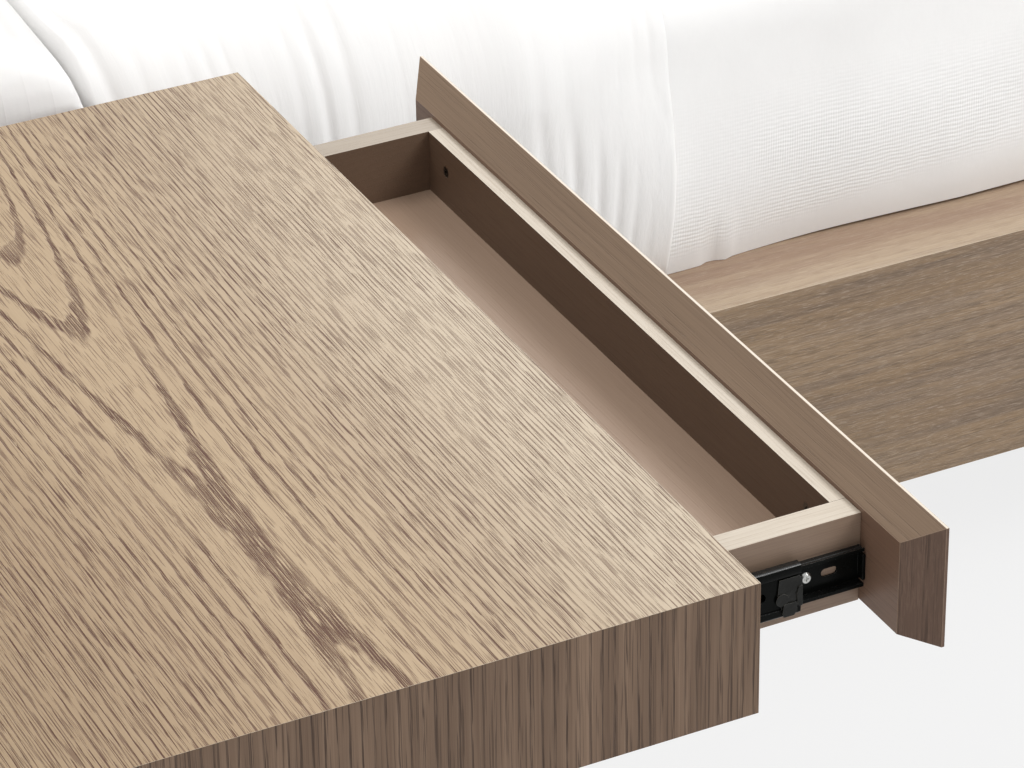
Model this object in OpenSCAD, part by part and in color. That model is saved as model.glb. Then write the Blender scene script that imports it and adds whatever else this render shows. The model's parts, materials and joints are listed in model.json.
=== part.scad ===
// Queen platform bed with a nightstand hung on each wing of its headboard.
// Units are millimetres. X runs across the bed, the foot points to -Y, the headboard to +Y, Z is up.
// The origin is on the floor, in the middle of the whole piece.

/* [Bed frame] */
// Width of the mattress
mattress_w = 1524; // [1370:1:1600]
// Length of the mattress
mattress_l = 2032; // [1900:1:2100]
// Thickness of the mattress
mattress_t = 290; // [270:1:310]
// Free space between the mattress and the rails
mattress_gap = 12; // [8:1:20]
// Free space between the mattress and the foot rail or the headboard
mattress_end_gap = 11; // [8:1:20]
// How deep the mattress sits below the top of the rails
mattress_sink = 60; // [40:1:90]
// Thickness of a rail, which is the ledge beside the mattress
rail_t = 76; // [66:1:90]
// Height of a rail
rail_h = 206; // [180:1:230]
// Height of the rails' top above the floor
rail_top = 316; // [300:1:360]
// Thickness of a slat
slat_t = 18; // [15:1:22]
// Width of a slat
slat_w = 70; // [50:1:90]
// Number of slats
slat_count = 14; // [10:1:18]
// Free space between a slat's end and the rail
slat_gap = 3; // [1:1:8]
// Width of the ledger strips that carry the slats
ledger_w = 30; // [22:1:40]
// Height of the ledger strips
ledger_h = 40; // [30:1:50]
// Width of the centre beam
beam_w = 60; // [45:1:80]
// Height of the centre beam
beam_h = 80; // [60:1:100]
// Side of the square legs under the foot corners
foot_leg_w = 60; // [50:1:66]
// How far the foot legs stand back from the rails' outer faces
foot_leg_inset = 10; // [6:1:14]
// Side of the square legs under the centre beam
centre_leg_w = 50; // [40:1:60]
// Number of legs under the centre beam
centre_leg_count = 3; // [2:1:5]
// Diameter of the floor glides
glide_d = 34; // [28:1:40]
// Height of the floor glides
glide_h = 12; // [6:1:16]

/* [Headboard] */
// Height of the headboard's top above the floor
headboard_top = 1000; // [850:1:1200]
// Thickness of the headboard panels
panel_t = 36; // [30:1:45]
// Joint between two headboard panels
panel_seam = 2; // [1:0.5:4]
// Width of the uprights behind the panels
post_w = 100; // [90:1:140]
// Thickness of the uprights
post_t = 40; // [30:1:55]
// How far the uprights end below the headboard's top
post_drop = 40; // [20:1:80]
// How far the outer uprights stand in from the wings' outer ends
post_inset = 30; // [10:1:60]

/* [Nightstand] */
// Length of a nightstand, from its outer end to its end beside the bed
night_w = 745; // [600:1:800]
// Depth of a nightstand, front to back
night_d = 540; // [500:1:580]
// Height of a nightstand
night_h = 90; // [84:1:100]
// Height of a nightstand's top above the rails' top
night_rise = 297; // [260:1:330]
// Thickness of the nightstand's top panel
top_t = 15; // [12:0.5:18]
// Thickness of its bottom panel
bottom_t = 8; // [6:0.5:10]
// Thickness of its outer end panel
side_t = 18; // [15:0.5:20]
// Width of the fixed stile at the end beside the bed
stile_t = 35; // [25:0.5:45]
// Thickness of its back panel
back_t = 15; // [9:0.5:18]

/* [Drawer] */
// How far the left drawer stands open
left_open = 127; // [0:1:390]
// How far the right drawer stands open
right_open = 0; // [0:1:390]
// Thickness of the drawer front
front_t = 23; // [18:0.5:28]
// Straight edge round the front's face, before its bevels begin
front_edge = 2; // [1:0.5:4]
// Height of the bevel along the front's top
bevel_top = 13; // [8:0.5:16]
// Height of the bevel along the front's bottom
bevel_bottom = 6; // [3:0.5:10]
// Length of the bevel at the front's outer end
bevel_outer = 17; // [12:0.5:22]
// Length of the bevel at the front's end beside the bed
bevel_bed = 36; // [20:0.5:44]
// Joint round the drawer front
front_gap = 0.8; // [0.5:0.1:2]
// Edge of the case that is left beside the joint
front_land = 0.5; // [0.3:0.1:1.5]
// How far the front ends above the case's underside, as a finger edge
front_lift = 5.5; // [5:0.5:7]
// Free height above and below the drawer box
run_gap = 2.5; // [1.5:0.5:4]
// Length of the drawer box
box_l = 420; // [410:1:440]
// Distance from an end of the front to the drawer box
box_inset = 61; // [56:1:70]
// Thickness of the drawer box's sides
box_side_t = 18.5; // [15:0.5:20]
// Thickness of the drawer box's front and back
box_end_t = 11; // [9:0.5:13]
// Thickness of the drawer's floor panel
floor_t = 6; // [4:0.5:8]
// Height of the floor panel above the lower edge of the box
floor_rise = 10.5; // [8:0.5:14]
// Depth of the grooves that hold the floor panel
groove_d = 5; // [3:0.5:7]
// Distance from the inner face of a box side to the screw that holds the front
front_screw_inset = 26.5; // [12:0.5:60]
// Height of those screws above the middle of the box
front_screw_rise = 11.5; // [6:0.5:14]

/* [Slides] */
// Length of the ball-bearing slides
slide_l = 400; // [380:1:404]
// Thickness of a slide between the box and the case
slide_t = 12.7; // [12.7:0.1:13.5]
// Height of the member on the drawer box
slide_inner_h = 25; // [22:0.5:26]
// Sheet thickness of the drawer and middle members
slide_gauge = 1.2; // [1:0.1:1.4]
// Sheet thickness of the case member
slide_case_gauge = 1.5; // [1.2:0.1:1.8]
// Outer radius of the bends of the middle and case members
slide_bend = 2.6; // [2:0.1:3]
// How far the middle member's web is set back between its raised tracks
web_setback = 1; // [0.6:0.1:1.2]
// Height of one of those tracks
track_h = 6; // [5:0.5:7]
// Diameter of the balls
ball_d = 3.6; // [3:0.1:4]
// Running clearance round a ball
ball_gap = 0.3; // [0.2:0.05:0.5]
// Number of balls in one row
ball_count = 5; // [3:1:8]
// Distance from ball to ball
ball_pitch = 14; // [8:1:18]
// How far the slide's middle lies below the middle of the box
slide_low = 3.5; // [0:0.5:6]
// Share of the drawer's travel that the middle member makes
middle_share = 0.6457; // [0.5:0.0001:0.66]
// Distance from a slide's end to the inner face of the front
slide_setback = 1; // [0.5:0.5:4]

/* [Fastenings] */
// Shank diameter of the frame bolts
bolt_d = 8; // [6:0.5:10]
// Head diameter of the frame bolts
bolt_head_d = 15; // [12:0.5:18]
// Head height of the frame bolts
bolt_head_h = 4; // [3:0.5:6]
// Free radius round a bolt or screw shank
bolt_play = 0.1; // [0.05:0.05:0.3]
// Distance from the lower edge of the headboard panels to their lowest bolts
post_bolt_rise = 90; // [40:5:120]
// Distance from the uprights' upper ends to the highest bolts
post_bolt_drop = 60; // [30:5:100]
// Length of bolt that bites into the wood
bolt_bite = 27; // [20:1:32]
// Length of a leg of the steel corner brackets
corner_leg = 60; // [50:1:80]
// Height of the corner brackets
corner_h = 100; // [80:1:110]
// Sheet thickness of the corner brackets
corner_t = 4; // [3:0.5:6]
// Width of the steel brackets that carry the nightstands
arm_w = 40; // [35:1:60]
// Thickness of those brackets
arm_t = 6; // [5:0.5:8]
// Length of their arm under the nightstand
arm_l = 360; // [300:1:420]
// Height of their leg on the headboard
arm_h = 190; // [150:1:200]
// Shank diameter of the drawer screws
screw_d = 4; // [3.5:0.1:4.5]
// Head diameter of the drawer screws
screw_head_d = 8; // [7:0.1:9]

/* [Bedding] */
// Radius of the mattress's top and bottom edges
mattress_edge = 36; // [20:1:50]
// Radius of the mattress's upright corners
mattress_corner = 70; // [60:1:110]
// Crown of the mattress's top
mattress_crown = 3; // [0:0.5:3]
// Clear distance from the mattress to the blanket
blanket_ease = 4; // [3.5:0.5:8]
// Thickness of the blanket with the sheet below it
blanket_t = 16; // [10:1:20]
// Depth of the blanket's soft waves
blanket_wave = 2.5; // [0:0.5:3]
// Distance from the nightstands' front to the foot edge of the duvet
duvet_foot = 391; // [300:1:450]
// Distance from the nightstands' front to the head edge of the duvet, behind it
duvet_head = 96; // [60:1:110]
// Thickness of the folded duvet on top of the bed
duvet_top_t = 50; // [24:1:60]
// Thickness of the duvet where it hangs beside the bed
duvet_side_t = 15; // [8:1:20]
// Depth of the duvet's folds
duvet_fold = 5; // [0:0.5:6]
// Distance from fold to fold
duvet_fold_pitch = 62; // [50:1:90]
// Length of a pillow
pillow_w = 760; // [600:1:780]
// Thickness of a pillow
pillow_t = 165; // [110:1:190]
// Height of a pillow's seam above the mattress
pillow_rise = 50; // [35:1:70]
// How far the pillows reach past the mattress's sides
pillow_overhang = 38; // [0:1:60]
// Free space from the pillows to the duvet
pillow_gap = 6; // [2:1:30]
// Free space from the pillows to the headboard
pillow_back_gap = 3; // [1:1:10]
// Clearance between soft pieces and what they lie on
seat_gap = 0.3; // [0.2:0.05:0.5]

/* [Hidden] */
$fn = 32;

// Frame: places that follow from the sizes above
bed_half = mattress_w / 2 + mattress_gap;
outer_half = bed_half + rail_t;
total_half = outer_half + night_w;
head_y = mattress_l / 2 + mattress_end_gap;
foot_y = -head_y;
foot_face_y = foot_y - rail_t;
panel_back_y = head_y + panel_t;
back_y = panel_back_y + post_t;
rail_low = rail_top - rail_h;
slat_top = rail_top - mattress_sink;
slat_low = slat_top - slat_t;
beam_low = slat_low - beam_h;
mattress_top = slat_top + mattress_t;
seam_x = outer_half;
outer_post_x = total_half - post_inset - post_w / 2;

// Nightstand: local X from its outer end to the bed, local Y from its front to its back, Z down from 0
night_top = rail_top + night_rise;
night_y = head_y - night_d;
inner_low = -(night_h - bottom_t);
front_x0 = front_land + front_gap;
front_x1 = night_w - stile_t - front_gap;
front_z1 = -(front_land + front_gap);
front_z0 = -(night_h - front_lift);
box_top = -(top_t + run_gap);
box_low = inner_low + run_gap;
box_mid = (box_top + box_low) / 2;
box_x0 = front_x0 + box_inset;
box_x1 = front_x1 - box_inset;
box_y0 = front_t;
box_y1 = front_t + box_l;
floor_low = box_low + floor_rise;
floor_top = floor_low + floor_t;
packer_x0 = box_x0 - slide_t;
packer_x1 = box_x1 + slide_t;

// Slide: cross-section heights from its middle, t from the box's side towards the case
slide_z = box_mid - slide_low;
slide_y = front_t + slide_setback;
inner_r = slide_inner_h / 2;
middle_in = inner_r + ball_d;
middle_r = middle_in + slide_gauge;
case_in = middle_r + ball_d;
case_r = case_in + slide_case_gauge;
inner_reach = slide_t * 0.535;
middle_t0 = slide_t * 0.175;
middle_t1 = slide_t - slide_case_gauge - 1.4;
web_t = middle_t1 - web_setback;
case_t0 = slide_t * 0.345;
inner_ball_t = middle_t0 + ball_d / 2;
outer_ball_t = case_t0 + slide_case_gauge + ball_d / 2;
race_r = ball_d / 2 + ball_gap;
ball_sink = 0.2;
inner_ball_h = inner_r + ball_d / 2;
outer_ball_h = middle_r + ball_d / 2 - ball_sink;
slide_screw_y = [37, 197, 357];
member_hole_y = [27, 120, 280];

// ---------------------------------------------------------------- helpers

// A block from its low corner to its high corner
module block(low, high) {
    translate(low) cube(high - low);
}

// The same piece on both sides of the bed
module both_sides() {
    children();
    mirror([1, 0, 0]) children();
}

// A profile drawn in X and Z, carried along Y from y0 to y1
module along_y(y0, y1) {
    translate([0, y1, 0]) rotate([90, 0, 0]) linear_extrude(y1 - y0) children();
}

// A bolt along -Z with its head's underside at 0
module bolt(length) {
    translate([0, 0, -length]) cylinder(d = bolt_d, h = length);
    difference() {
        cylinder(d = bolt_head_d, h = bolt_head_h);
        translate([0, 0, bolt_head_h - 2.5]) cylinder(d = bolt_d * 0.65, h = 3, $fn = 6);
    }
}

// The bore that a bolt along -Z needs
module bolt_bore(length) {
    translate([0, 0, -length - bolt_play]) cylinder(d = bolt_d + 2 * bolt_play, h = length + 2 * bolt_play + 1);
}

// ---------------------------------------------------------------- places of the fastenings

// Bolts through the uprights into the panels from behind, their heads sunk below the back
post_sink = bolt_head_h + 1;
post_bolt_l = post_t - post_sink + bolt_bite;
post_bolt_zs = [
    rail_low + post_bolt_rise, (rail_low + headboard_top) / 2, headboard_top - post_drop - post_bolt_drop
];
post_bolt_xs = [seam_x - post_w / 4, seam_x + post_w / 4, outer_post_x];

module at_post_bolts() {
    both_sides()
        for (x = post_bolt_xs)
            for (z = post_bolt_zs)
                translate([x, back_y - post_sink, z]) rotate([-90, 0, 0]) children();
}

// Corner brackets stand in the four inner corners of the frame
corner_z = slat_low - 10 - corner_h;
corner_bolt_zs = [corner_z + corner_h * 0.25, corner_z + corner_h * 0.75];
corner_bolt_in = corner_leg * 0.6;

// Bolts through the brackets into the side rails
module at_rail_bolts() {
    both_sides()
        for (y = [foot_y + corner_bolt_in, head_y - corner_bolt_in])
            for (z = corner_bolt_zs)
                translate([bed_half - corner_t, y, z]) rotate([0, -90, 0]) children();
}

// Bolts through the brackets into the foot rail and the headboard
module at_end_bolts() {
    both_sides()
        for (z = corner_bolt_zs) {
            translate([bed_half - corner_bolt_in, foot_y + corner_t, z]) rotate([-90, 0, 0]) children();
            translate([bed_half - corner_bolt_in, head_y - corner_t, z]) rotate([90, 0, 0]) children();
        }
}

// Brackets under a nightstand lie below the middles of its two slide packers
arm_xs = [(side_t + packer_x0) / 2, (packer_x1 + night_w - stile_t) / 2];
arm_bolt_ys = [night_d - arm_l * 0.85, night_d - arm_l * 0.35];
arm_bolt_zs = [-night_h - arm_h * 0.45, -night_h - arm_h * 0.85];

// Bolts up through the arms into the packers, in the nightstand's own frame
module at_arm_bolts() {
    for (x = arm_xs)
        for (y = arm_bolt_ys)
            translate([x, y, -night_h - arm_t]) rotate([180, 0, 0]) children();
}

// Bolts through the bracket legs into the headboard's wing, in the nightstand's own frame
module at_leg_bolts() {
    for (x = arm_xs)
        for (z = arm_bolt_zs)
            translate([x, night_d - arm_t, z]) rotate([90, 0, 0]) children();
}

// ---------------------------------------------------------------- headboard

module headboard_panel(x0, x1) {
    difference() {
        block([x0, head_y, rail_low], [x1, panel_back_y, headboard_top]);
        at_post_bolts() bolt_bore(post_bolt_l);
        at_end_bolts() bolt_bore(corner_t + bolt_bite);
        both_sides() at_nightstand() at_leg_bolts() bolt_bore(arm_t + bolt_bite);
    }
}

module headboard_centre_panel() {
    color("tan") headboard_panel(-seam_x + panel_seam / 2, seam_x - panel_seam / 2);
}

module headboard_left_wing() {
    color("tan") headboard_panel(-total_half, -seam_x - panel_seam / 2);
}

module headboard_right_wing() {
    color("tan") headboard_panel(seam_x + panel_seam / 2, total_half);
}

module headboard_uprights() {
    color("rosybrown")
        difference() {
            both_sides()
                for (x = [seam_x, outer_post_x])
                    block([x - post_w / 2, panel_back_y, glide_h],
                          [x + post_w / 2, back_y, headboard_top - post_drop]);
            at_post_bolts() {
                bolt_bore(post_bolt_l);
                cylinder(d = bolt_head_d + 1, h = post_sink + 1);
            }
        }
}

// ---------------------------------------------------------------- bed frame

// Seen from above, the side rail is cut at 45 degrees at its foot end
module side_rail() {
    difference() {
        translate([0, 0, rail_low])
            linear_extrude(rail_h)
                polygon([
                    [bed_half, foot_y], [outer_half, foot_face_y],
                    [outer_half, head_y], [bed_half, head_y]
                ]);
        at_rail_bolts() bolt_bore(corner_t + bolt_bite);
    }
}

module left_side_rail() {
    color("tan") mirror([1, 0, 0]) side_rail();
}

module right_side_rail() {
    color("tan") side_rail();
}

module foot_rail() {
    color("tan")
        difference() {
            translate([0, 0, rail_low])
                linear_extrude(rail_h)
                    polygon([
                        [-outer_half, foot_face_y], [outer_half, foot_face_y],
                        [bed_half, foot_y], [-bed_half, foot_y]
                    ]);
            at_end_bolts() bolt_bore(corner_t + bolt_bite);
        }
}

module slat_ledgers() {
    color("burlywood")
        both_sides()
            block([bed_half - ledger_w, foot_y + corner_leg + 10, slat_low - ledger_h],
                  [bed_half, head_y - corner_leg - 10, slat_low]);
}

module centre_beam() {
    color("burlywood")
        block([-beam_w / 2, foot_y, beam_low], [beam_w / 2, head_y, slat_low]);
}

slat_y0 = foot_y + corner_leg + 15;
slat_y1 = head_y - corner_leg - 15;

module slats() {
    pitch = (slat_y1 - slat_y0 - slat_w) / (slat_count - 1);
    color("wheat")
        for (i = [0:slat_count - 1])
            block([-(bed_half - slat_gap), slat_y0 + i * pitch, slat_low],
                  [bed_half - slat_gap, slat_y0 + i * pitch + slat_w, slat_top]);
}

foot_leg_x = outer_half - foot_leg_inset - foot_leg_w / 2;
foot_leg_y = foot_face_y + foot_leg_inset + foot_leg_w / 2;

module foot_legs() {
    color("rosybrown")
        both_sides()
            block([foot_leg_x - foot_leg_w / 2, foot_leg_y - foot_leg_w / 2, glide_h],
                  [foot_leg_x + foot_leg_w / 2, foot_leg_y + foot_leg_w / 2, rail_low]);
}

function centre_leg_y(i) = foot_y + (i + 0.5) * (head_y - foot_y) / centre_leg_count;

module centre_legs() {
    color("rosybrown")
        for (i = [0:centre_leg_count - 1])
            block([-centre_leg_w / 2, centre_leg_y(i) - centre_leg_w / 2, glide_h],
                  [centre_leg_w / 2, centre_leg_y(i) + centre_leg_w / 2, beam_low]);
}

module floor_glides() {
    color("dimgray") {
        both_sides() {
            translate([foot_leg_x, foot_leg_y, 0]) glide();
            for (x = [seam_x, outer_post_x])
                translate([x, (panel_back_y + back_y) / 2, 0]) glide();
        }
        for (i = [0:centre_leg_count - 1])
            translate([0, centre_leg_y(i), 0]) glide();
    }
}

// A turned glide with a chamfered foot
module glide() {
    chamfer = glide_h / 4;
    rotate_extrude()
        polygon([
            [0, 0], [glide_d / 2 - chamfer, 0], [glide_d / 2, chamfer],
            [glide_d / 2, glide_h], [0, glide_h]
        ]);
}

// A steel angle in the inner corner at the foot, bored for its bolts
module corner_bracket_foot() {
    block([bed_half - corner_t, foot_y, corner_z], [bed_half, foot_y + corner_leg, corner_z + corner_h]);
    block([bed_half - corner_leg, foot_y, corner_z], [bed_half - corner_t, foot_y + corner_t, corner_z + corner_h]);
}

module corner_brackets() {
    color("slategray")
        difference() {
            both_sides() {
                corner_bracket_foot();
                mirror([0, 1, 0]) corner_bracket_foot();
            }
            at_rail_bolts() bolt_bore(corner_t + 1);
            at_end_bolts() bolt_bore(corner_t + 1);
        }
}

module frame_bolts() {
    color("silver") {
        at_post_bolts() bolt(post_bolt_l);
        at_rail_bolts() bolt(corner_t + bolt_bite);
        at_end_bolts() bolt(corner_t + bolt_bite);
        both_sides() at_nightstand() {
            at_arm_bolts() bolt(arm_t + bottom_t + bolt_bite);
            at_leg_bolts() bolt(arm_t + bolt_bite);
        }
    }
}

// ---------------------------------------------------------------- nightstand case

// Puts a piece from the nightstand's own frame at the left side of the bed
module at_nightstand() {
    translate([-total_half, night_y, night_top]) children();
}

module on_side(side) {
    if (side > 0)
        mirror([1, 0, 0]) at_nightstand() children();
    else
        at_nightstand() children();
}

// The drawer front's bevelled form; grow widens it into the recess that the case needs
module front_form(grow) {
    z0 = front_z0 - grow;
    z1 = front_z1 + grow;
    x0 = front_x0 - grow;
    x1 = front_x1 + grow;
    y0 = grow > 0 ? -1 : 0;
    y1 = front_t + grow;
    intersection() {
        translate([x0 - 1, 0, 0])
            rotate([90, 0, 90])
                linear_extrude(x1 - x0 + 2)
                    polygon([
                        [y0, z1], [front_edge, z1], [y1, z1 - bevel_top],
                        [y1, z0 + bevel_bottom], [front_edge, z0], [y0, z0]
                    ]);
        translate([0, 0, z0 - 1])
            linear_extrude(z1 - z0 + 2)
                polygon([
                    [x0, y0], [x1, y0], [x1, front_edge], [x1 - bevel_bed, y1],
                    [x0 + bevel_outer, y1], [x0, front_edge]
                ]);
    }
}

// Four panels are mitred round the case and bevelled at the front to meet the drawer front
module case_panel(outline) {
    difference() {
        along_y(0, night_d) polygon(outline);
        front_form(front_gap);
        at_arm_bolts() bolt_bore(arm_t + bottom_t + bolt_bite);
    }
}

module case_top(side) {
    color("tan")
        on_side(side)
            case_panel([[0, 0], [night_w, 0], [night_w - stile_t, -top_t], [side_t, -top_t]]);
}

module case_bottom(side) {
    color("tan")
        on_side(side)
            case_panel([[0, -night_h], [night_w, -night_h], [night_w - stile_t, inner_low], [side_t, inner_low]]);
}

module case_outer_end(side) {
    color("rosybrown")
        on_side(side)
            case_panel([[0, 0], [side_t, -top_t], [side_t, inner_low], [0, -night_h]]);
}

module case_bed_end(side) {
    color("rosybrown")
        on_side(side)
            case_panel([
                [night_w, 0], [night_w - stile_t, -top_t],
                [night_w - stile_t, inner_low], [night_w, -night_h]
            ]);
}

module case_back(side) {
    color("burlywood")
        on_side(side)
            block([side_t, night_d - back_t, inner_low], [night_w - stile_t, night_d, -top_t]);
}

// Solid blocks inside the case carry the slides and take the bracket bolts
module slide_packers(side) {
    color("burlywood")
        on_side(side)
            difference() {
                union() {
                    block([side_t, 0, inner_low], [packer_x0, night_d - back_t, -top_t]);
                    block([packer_x1, 0, inner_low], [night_w - stile_t, night_d - back_t, -top_t]);
                }
                front_form(front_gap);
                at_arm_bolts() bolt_bore(arm_t + bottom_t + bolt_bite);
                at_slides() at_case_screws() screw_bore(screw_bite);
            }
}

// A steel L with a web in its corner, one under each packer
module nightstand_brackets() {
    web = arm_h * 0.5;
    color("dimgray")
        both_sides()
            at_nightstand()
                difference() {
                    for (x = arm_xs) {
                        block([x - arm_w / 2, night_d - arm_l, -night_h - arm_t],
                              [x + arm_w / 2, night_d, -night_h]);
                        block([x - arm_w / 2, night_d - arm_t, -night_h - arm_h],
                              [x + arm_w / 2, night_d, -night_h - arm_t]);
                        translate([x - arm_t / 2, 0, 0])
                            rotate([90, 0, 90])
                                linear_extrude(arm_t)
                                    polygon([
                                        [night_d - arm_t, -night_h - arm_t],
                                        [night_d - arm_t - web, -night_h - arm_t],
                                        [night_d - arm_t, -night_h - arm_t - arm_h * 0.32]
                                    ]);
                    }
                    at_arm_bolts() bolt_bore(arm_t);
                    at_leg_bolts() bolt_bore(arm_t);
                }
}

// ---------------------------------------------------------------- drawer

// A drawer piece stands open by the side's own amount
module in_drawer(side) {
    on_side(side) translate([0, side > 0 ? -right_open : -left_open, 0]) children();
}

front_screw_xs = [box_x0 + box_side_t + front_screw_inset, box_x1 - box_side_t - front_screw_inset];

module at_front_screws() {
    for (x = front_screw_xs)
        translate([x, box_y0 + box_end_t, box_mid + front_screw_rise]) rotate([-90, 0, 0]) children();
}

// Countersunk screw along -Z, its head flush at 0
module front_screw() {
    difference() {
        rotate_extrude()
            polygon([
                [0, 0], [screw_head_d / 2, 0], [screw_d / 2, -screw_head_d / 3],
                [screw_d / 2, -front_screw_l], [0, -front_screw_l]
            ]);
        for (a = [0, 90])
            rotate([0, 0, a]) translate([-2, -0.5, -1.5]) cube([4, 1, 2]);
    }
}

module front_screw_bore() {
    rotate_extrude()
        polygon([
            [0, 1], [screw_head_d / 2 + bolt_play, 1], [screw_head_d / 2 + bolt_play, 0],
            [screw_d / 2 + bolt_play, -screw_head_d / 3],
            [screw_d / 2 + bolt_play, -front_screw_l - bolt_play], [0, -front_screw_l - bolt_play]
        ]);
}

front_screw_l = box_end_t + 14;

module drawer_front(side) {
    color("rosybrown")
        in_drawer(side)
            difference() {
                front_form(0);
                at_front_screws() front_screw_bore();
            }
}

// The panel that all four sides of the box hold in their grooves
module drawer_floor_form(play) {
    block([box_x0 + box_side_t - groove_d, box_y0 + box_end_t - groove_d, floor_low - play],
          [box_x1 - box_side_t + groove_d, box_y1 - box_end_t + groove_d, floor_top + play]);
}

module box_side(side, x0) {
    color("burlywood")
        in_drawer(side)
            difference() {
                block([x0, box_y0, box_low], [x0 + box_side_t, box_y1, box_top]);
                drawer_floor_form(0);
                at_slides() at_member_screws() screw_bore(screw_bite);
            }
}

module box_end(side, y0) {
    color("burlywood")
        in_drawer(side)
            difference() {
                block([box_x0 + box_side_t, y0, box_low], [box_x1 - box_side_t, y0 + box_end_t, box_top]);
                drawer_floor_form(0);
                at_front_screws() front_screw_bore();
            }
}

module drawer_floor(side) {
    color("peru") in_drawer(side) drawer_floor_form(0);
}

// ---------------------------------------------------------------- slides

// Both slides of a drawer: local X is the distance from the box's side, Y along, Z from the slide's middle
module at_outer_slide() {
    translate([box_x0, 0, slide_z]) mirror([1, 0, 0]) children();
}

module at_bed_slide() {
    translate([box_x1, 0, slide_z]) children();
}

module at_slides() {
    at_outer_slide() children();
    at_bed_slide() children();
}

module at_member_screws() {
    for (y = slide_screw_y)
        translate([slide_gauge, slide_y + y, 0]) rotate([0, 90, 0]) children();
}

module at_case_screws() {
    for (y = slide_screw_y)
        translate([slide_t - slide_case_gauge, slide_y + y, 0]) rotate([0, -90, 0]) children();
}

screw_bite = 12;
screw_head_h = 1.2;

// Pan-head screw along -Z with its head's underside at 0
module pan_screw(length) {
    translate([0, 0, -length]) cylinder(d = screw_d, h = length);
    difference() {
        cylinder(d1 = screw_head_d, d2 = screw_head_d * 0.7, h = screw_head_h);
        for (a = [0, 90])
            rotate([0, 0, a]) translate([-1.6, -0.4, 0.5]) cube([3.2, 0.8, 1]);
    }
}

module screw_bore(length) {
    translate([0, 0, -length - bolt_play]) cylinder(d = screw_d + 2 * bolt_play, h = length + 4);
}

// An oblong hole through a web, along Y
module web_slot(y, length, height) {
    for (e = [-0.5, 0.5])
        translate([-1, y + e * (length - height), 0]) rotate([0, 90, 0]) cylinder(d = height, h = slide_t + 2);
    translate([-1, y - (length - height) / 2, -height / 2]) cube([slide_t + 2, length - height, height]);
}

// A rectangle with round corners, from its low corner to its high corner
module rounded(low, high, r) {
    translate([low[0] + r, low[1]]) square([high[0] - low[0] - 2 * r, high[1] - low[1]]);
    translate([low[0], low[1] + r]) square([high[0] - low[0], high[1] - low[1] - 2 * r]);
    for (x = [low[0] + r, high[0] - r])
        for (y = [low[1] + r, high[1] - r])
            translate([x, y]) circle(r = r);
}

// Member on the box: a shallow channel, its flanges grooved outside for the balls
module inner_profile() {
    lip = slide_gauge * 0.9;
    difference() {
        union() {
            translate([0, -inner_r]) square([slide_gauge, 2 * inner_r]);
            for (h = [-inner_r, inner_r - slide_gauge])
                translate([0, h]) square([inner_reach, slide_gauge]);
            for (h = [-inner_r - lip, inner_r - slide_gauge])
                translate([inner_reach - slide_gauge * 0.7, h]) square([slide_gauge * 0.7, slide_gauge + lip]);
        }
        for (m = [-1, 1])
            translate([inner_ball_t, m * inner_ball_h]) circle(r = race_r);
    }
}

// Middle member: a channel that opens to the box and wraps the inner balls, its web set back
// between two raised and rounded tracks
module middle_profile() {
    web_h = middle_r - track_h;
    difference() {
        rounded([middle_t0, -middle_r], [middle_t1, middle_r], slide_bend);
        rounded([middle_t0 + slide_gauge, -middle_in], [middle_t1 - slide_gauge, middle_in],
                slide_bend - slide_gauge);
        translate([middle_t0 - 1, -middle_in + slide_gauge])
            square([slide_gauge + 2, 2 * (middle_in - slide_gauge)]);
        translate([web_t, -web_h]) square([web_setback + 1, 2 * web_h]);
    }
    translate([web_t - slide_gauge, -web_h - slide_gauge])
        square([slide_gauge, 2 * (web_h + slide_gauge)]);
    for (m = [-1, 1])
        translate([web_t - slide_gauge, m * (web_h + slide_gauge / 2) - slide_gauge / 2])
            square([middle_t1 - web_t, slide_gauge]);
}

// Case member: the widest channel, its flanges grooved inside for the outer balls
module case_profile() {
    difference() {
        rounded([case_t0, -case_r], [slide_t, case_r], slide_bend);
        rounded([case_t0 + slide_case_gauge, -case_in], [slide_t - slide_case_gauge, case_in],
                slide_bend - slide_case_gauge);
        translate([case_t0 - 1, -case_in + slide_case_gauge])
            square([slide_case_gauge + 2, 2 * (case_in - slide_case_gauge)]);
        for (m = [-1, 1])
            translate([outer_ball_t, m * outer_ball_h]) circle(r = race_r);
    }
}

// Member on the box, with its bent end tab, screw holes and oblong slots
module drawer_member() {
    difference() {
        union() {
            along_y(slide_y, slide_y + slide_l) inner_profile();
            block([0, slide_y - slide_setback / 2, -inner_r * 0.7],
                  [web_t - slide_gauge - 0.4, slide_y + slide_gauge, inner_r * 0.7]);
        }
        at_member_screws() screw_bore(slide_gauge + 1);
        for (y = slide_screw_y)
            web_slot(slide_y + y - 16, 11, 5.5);
    }
}

// Balls ride in the middle member: the inner rows near its front end, the outer rows near its back
module ball_rows() {
    for (i = [0:ball_count - 1])
        for (m = [-1, 1]) {
            translate([inner_ball_t, slide_y + 24 + i * ball_pitch, m * inner_ball_h])
                sphere(d = ball_d, $fn = 20);
            translate([outer_ball_t, slide_y + slide_l - 24 - i * ball_pitch, m * outer_ball_h])
                sphere(d = ball_d, $fn = 20);
        }
}

module middle_member() {
    difference() {
        along_y(slide_y, slide_y + slide_l) middle_profile();
        for (y = member_hole_y)
            translate([0, slide_y + y, 0]) rotate([0, 90, 0]) cylinder(d = 7, h = slide_t + 1);
        translate([0, slide_y + 9, 0]) rotate([0, 90, 0]) cylinder(d = stop_pin_d + 2 * bolt_play, h = slide_t + 1);
    }
    ball_rows();
}

stop_pin_d = 4;

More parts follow.
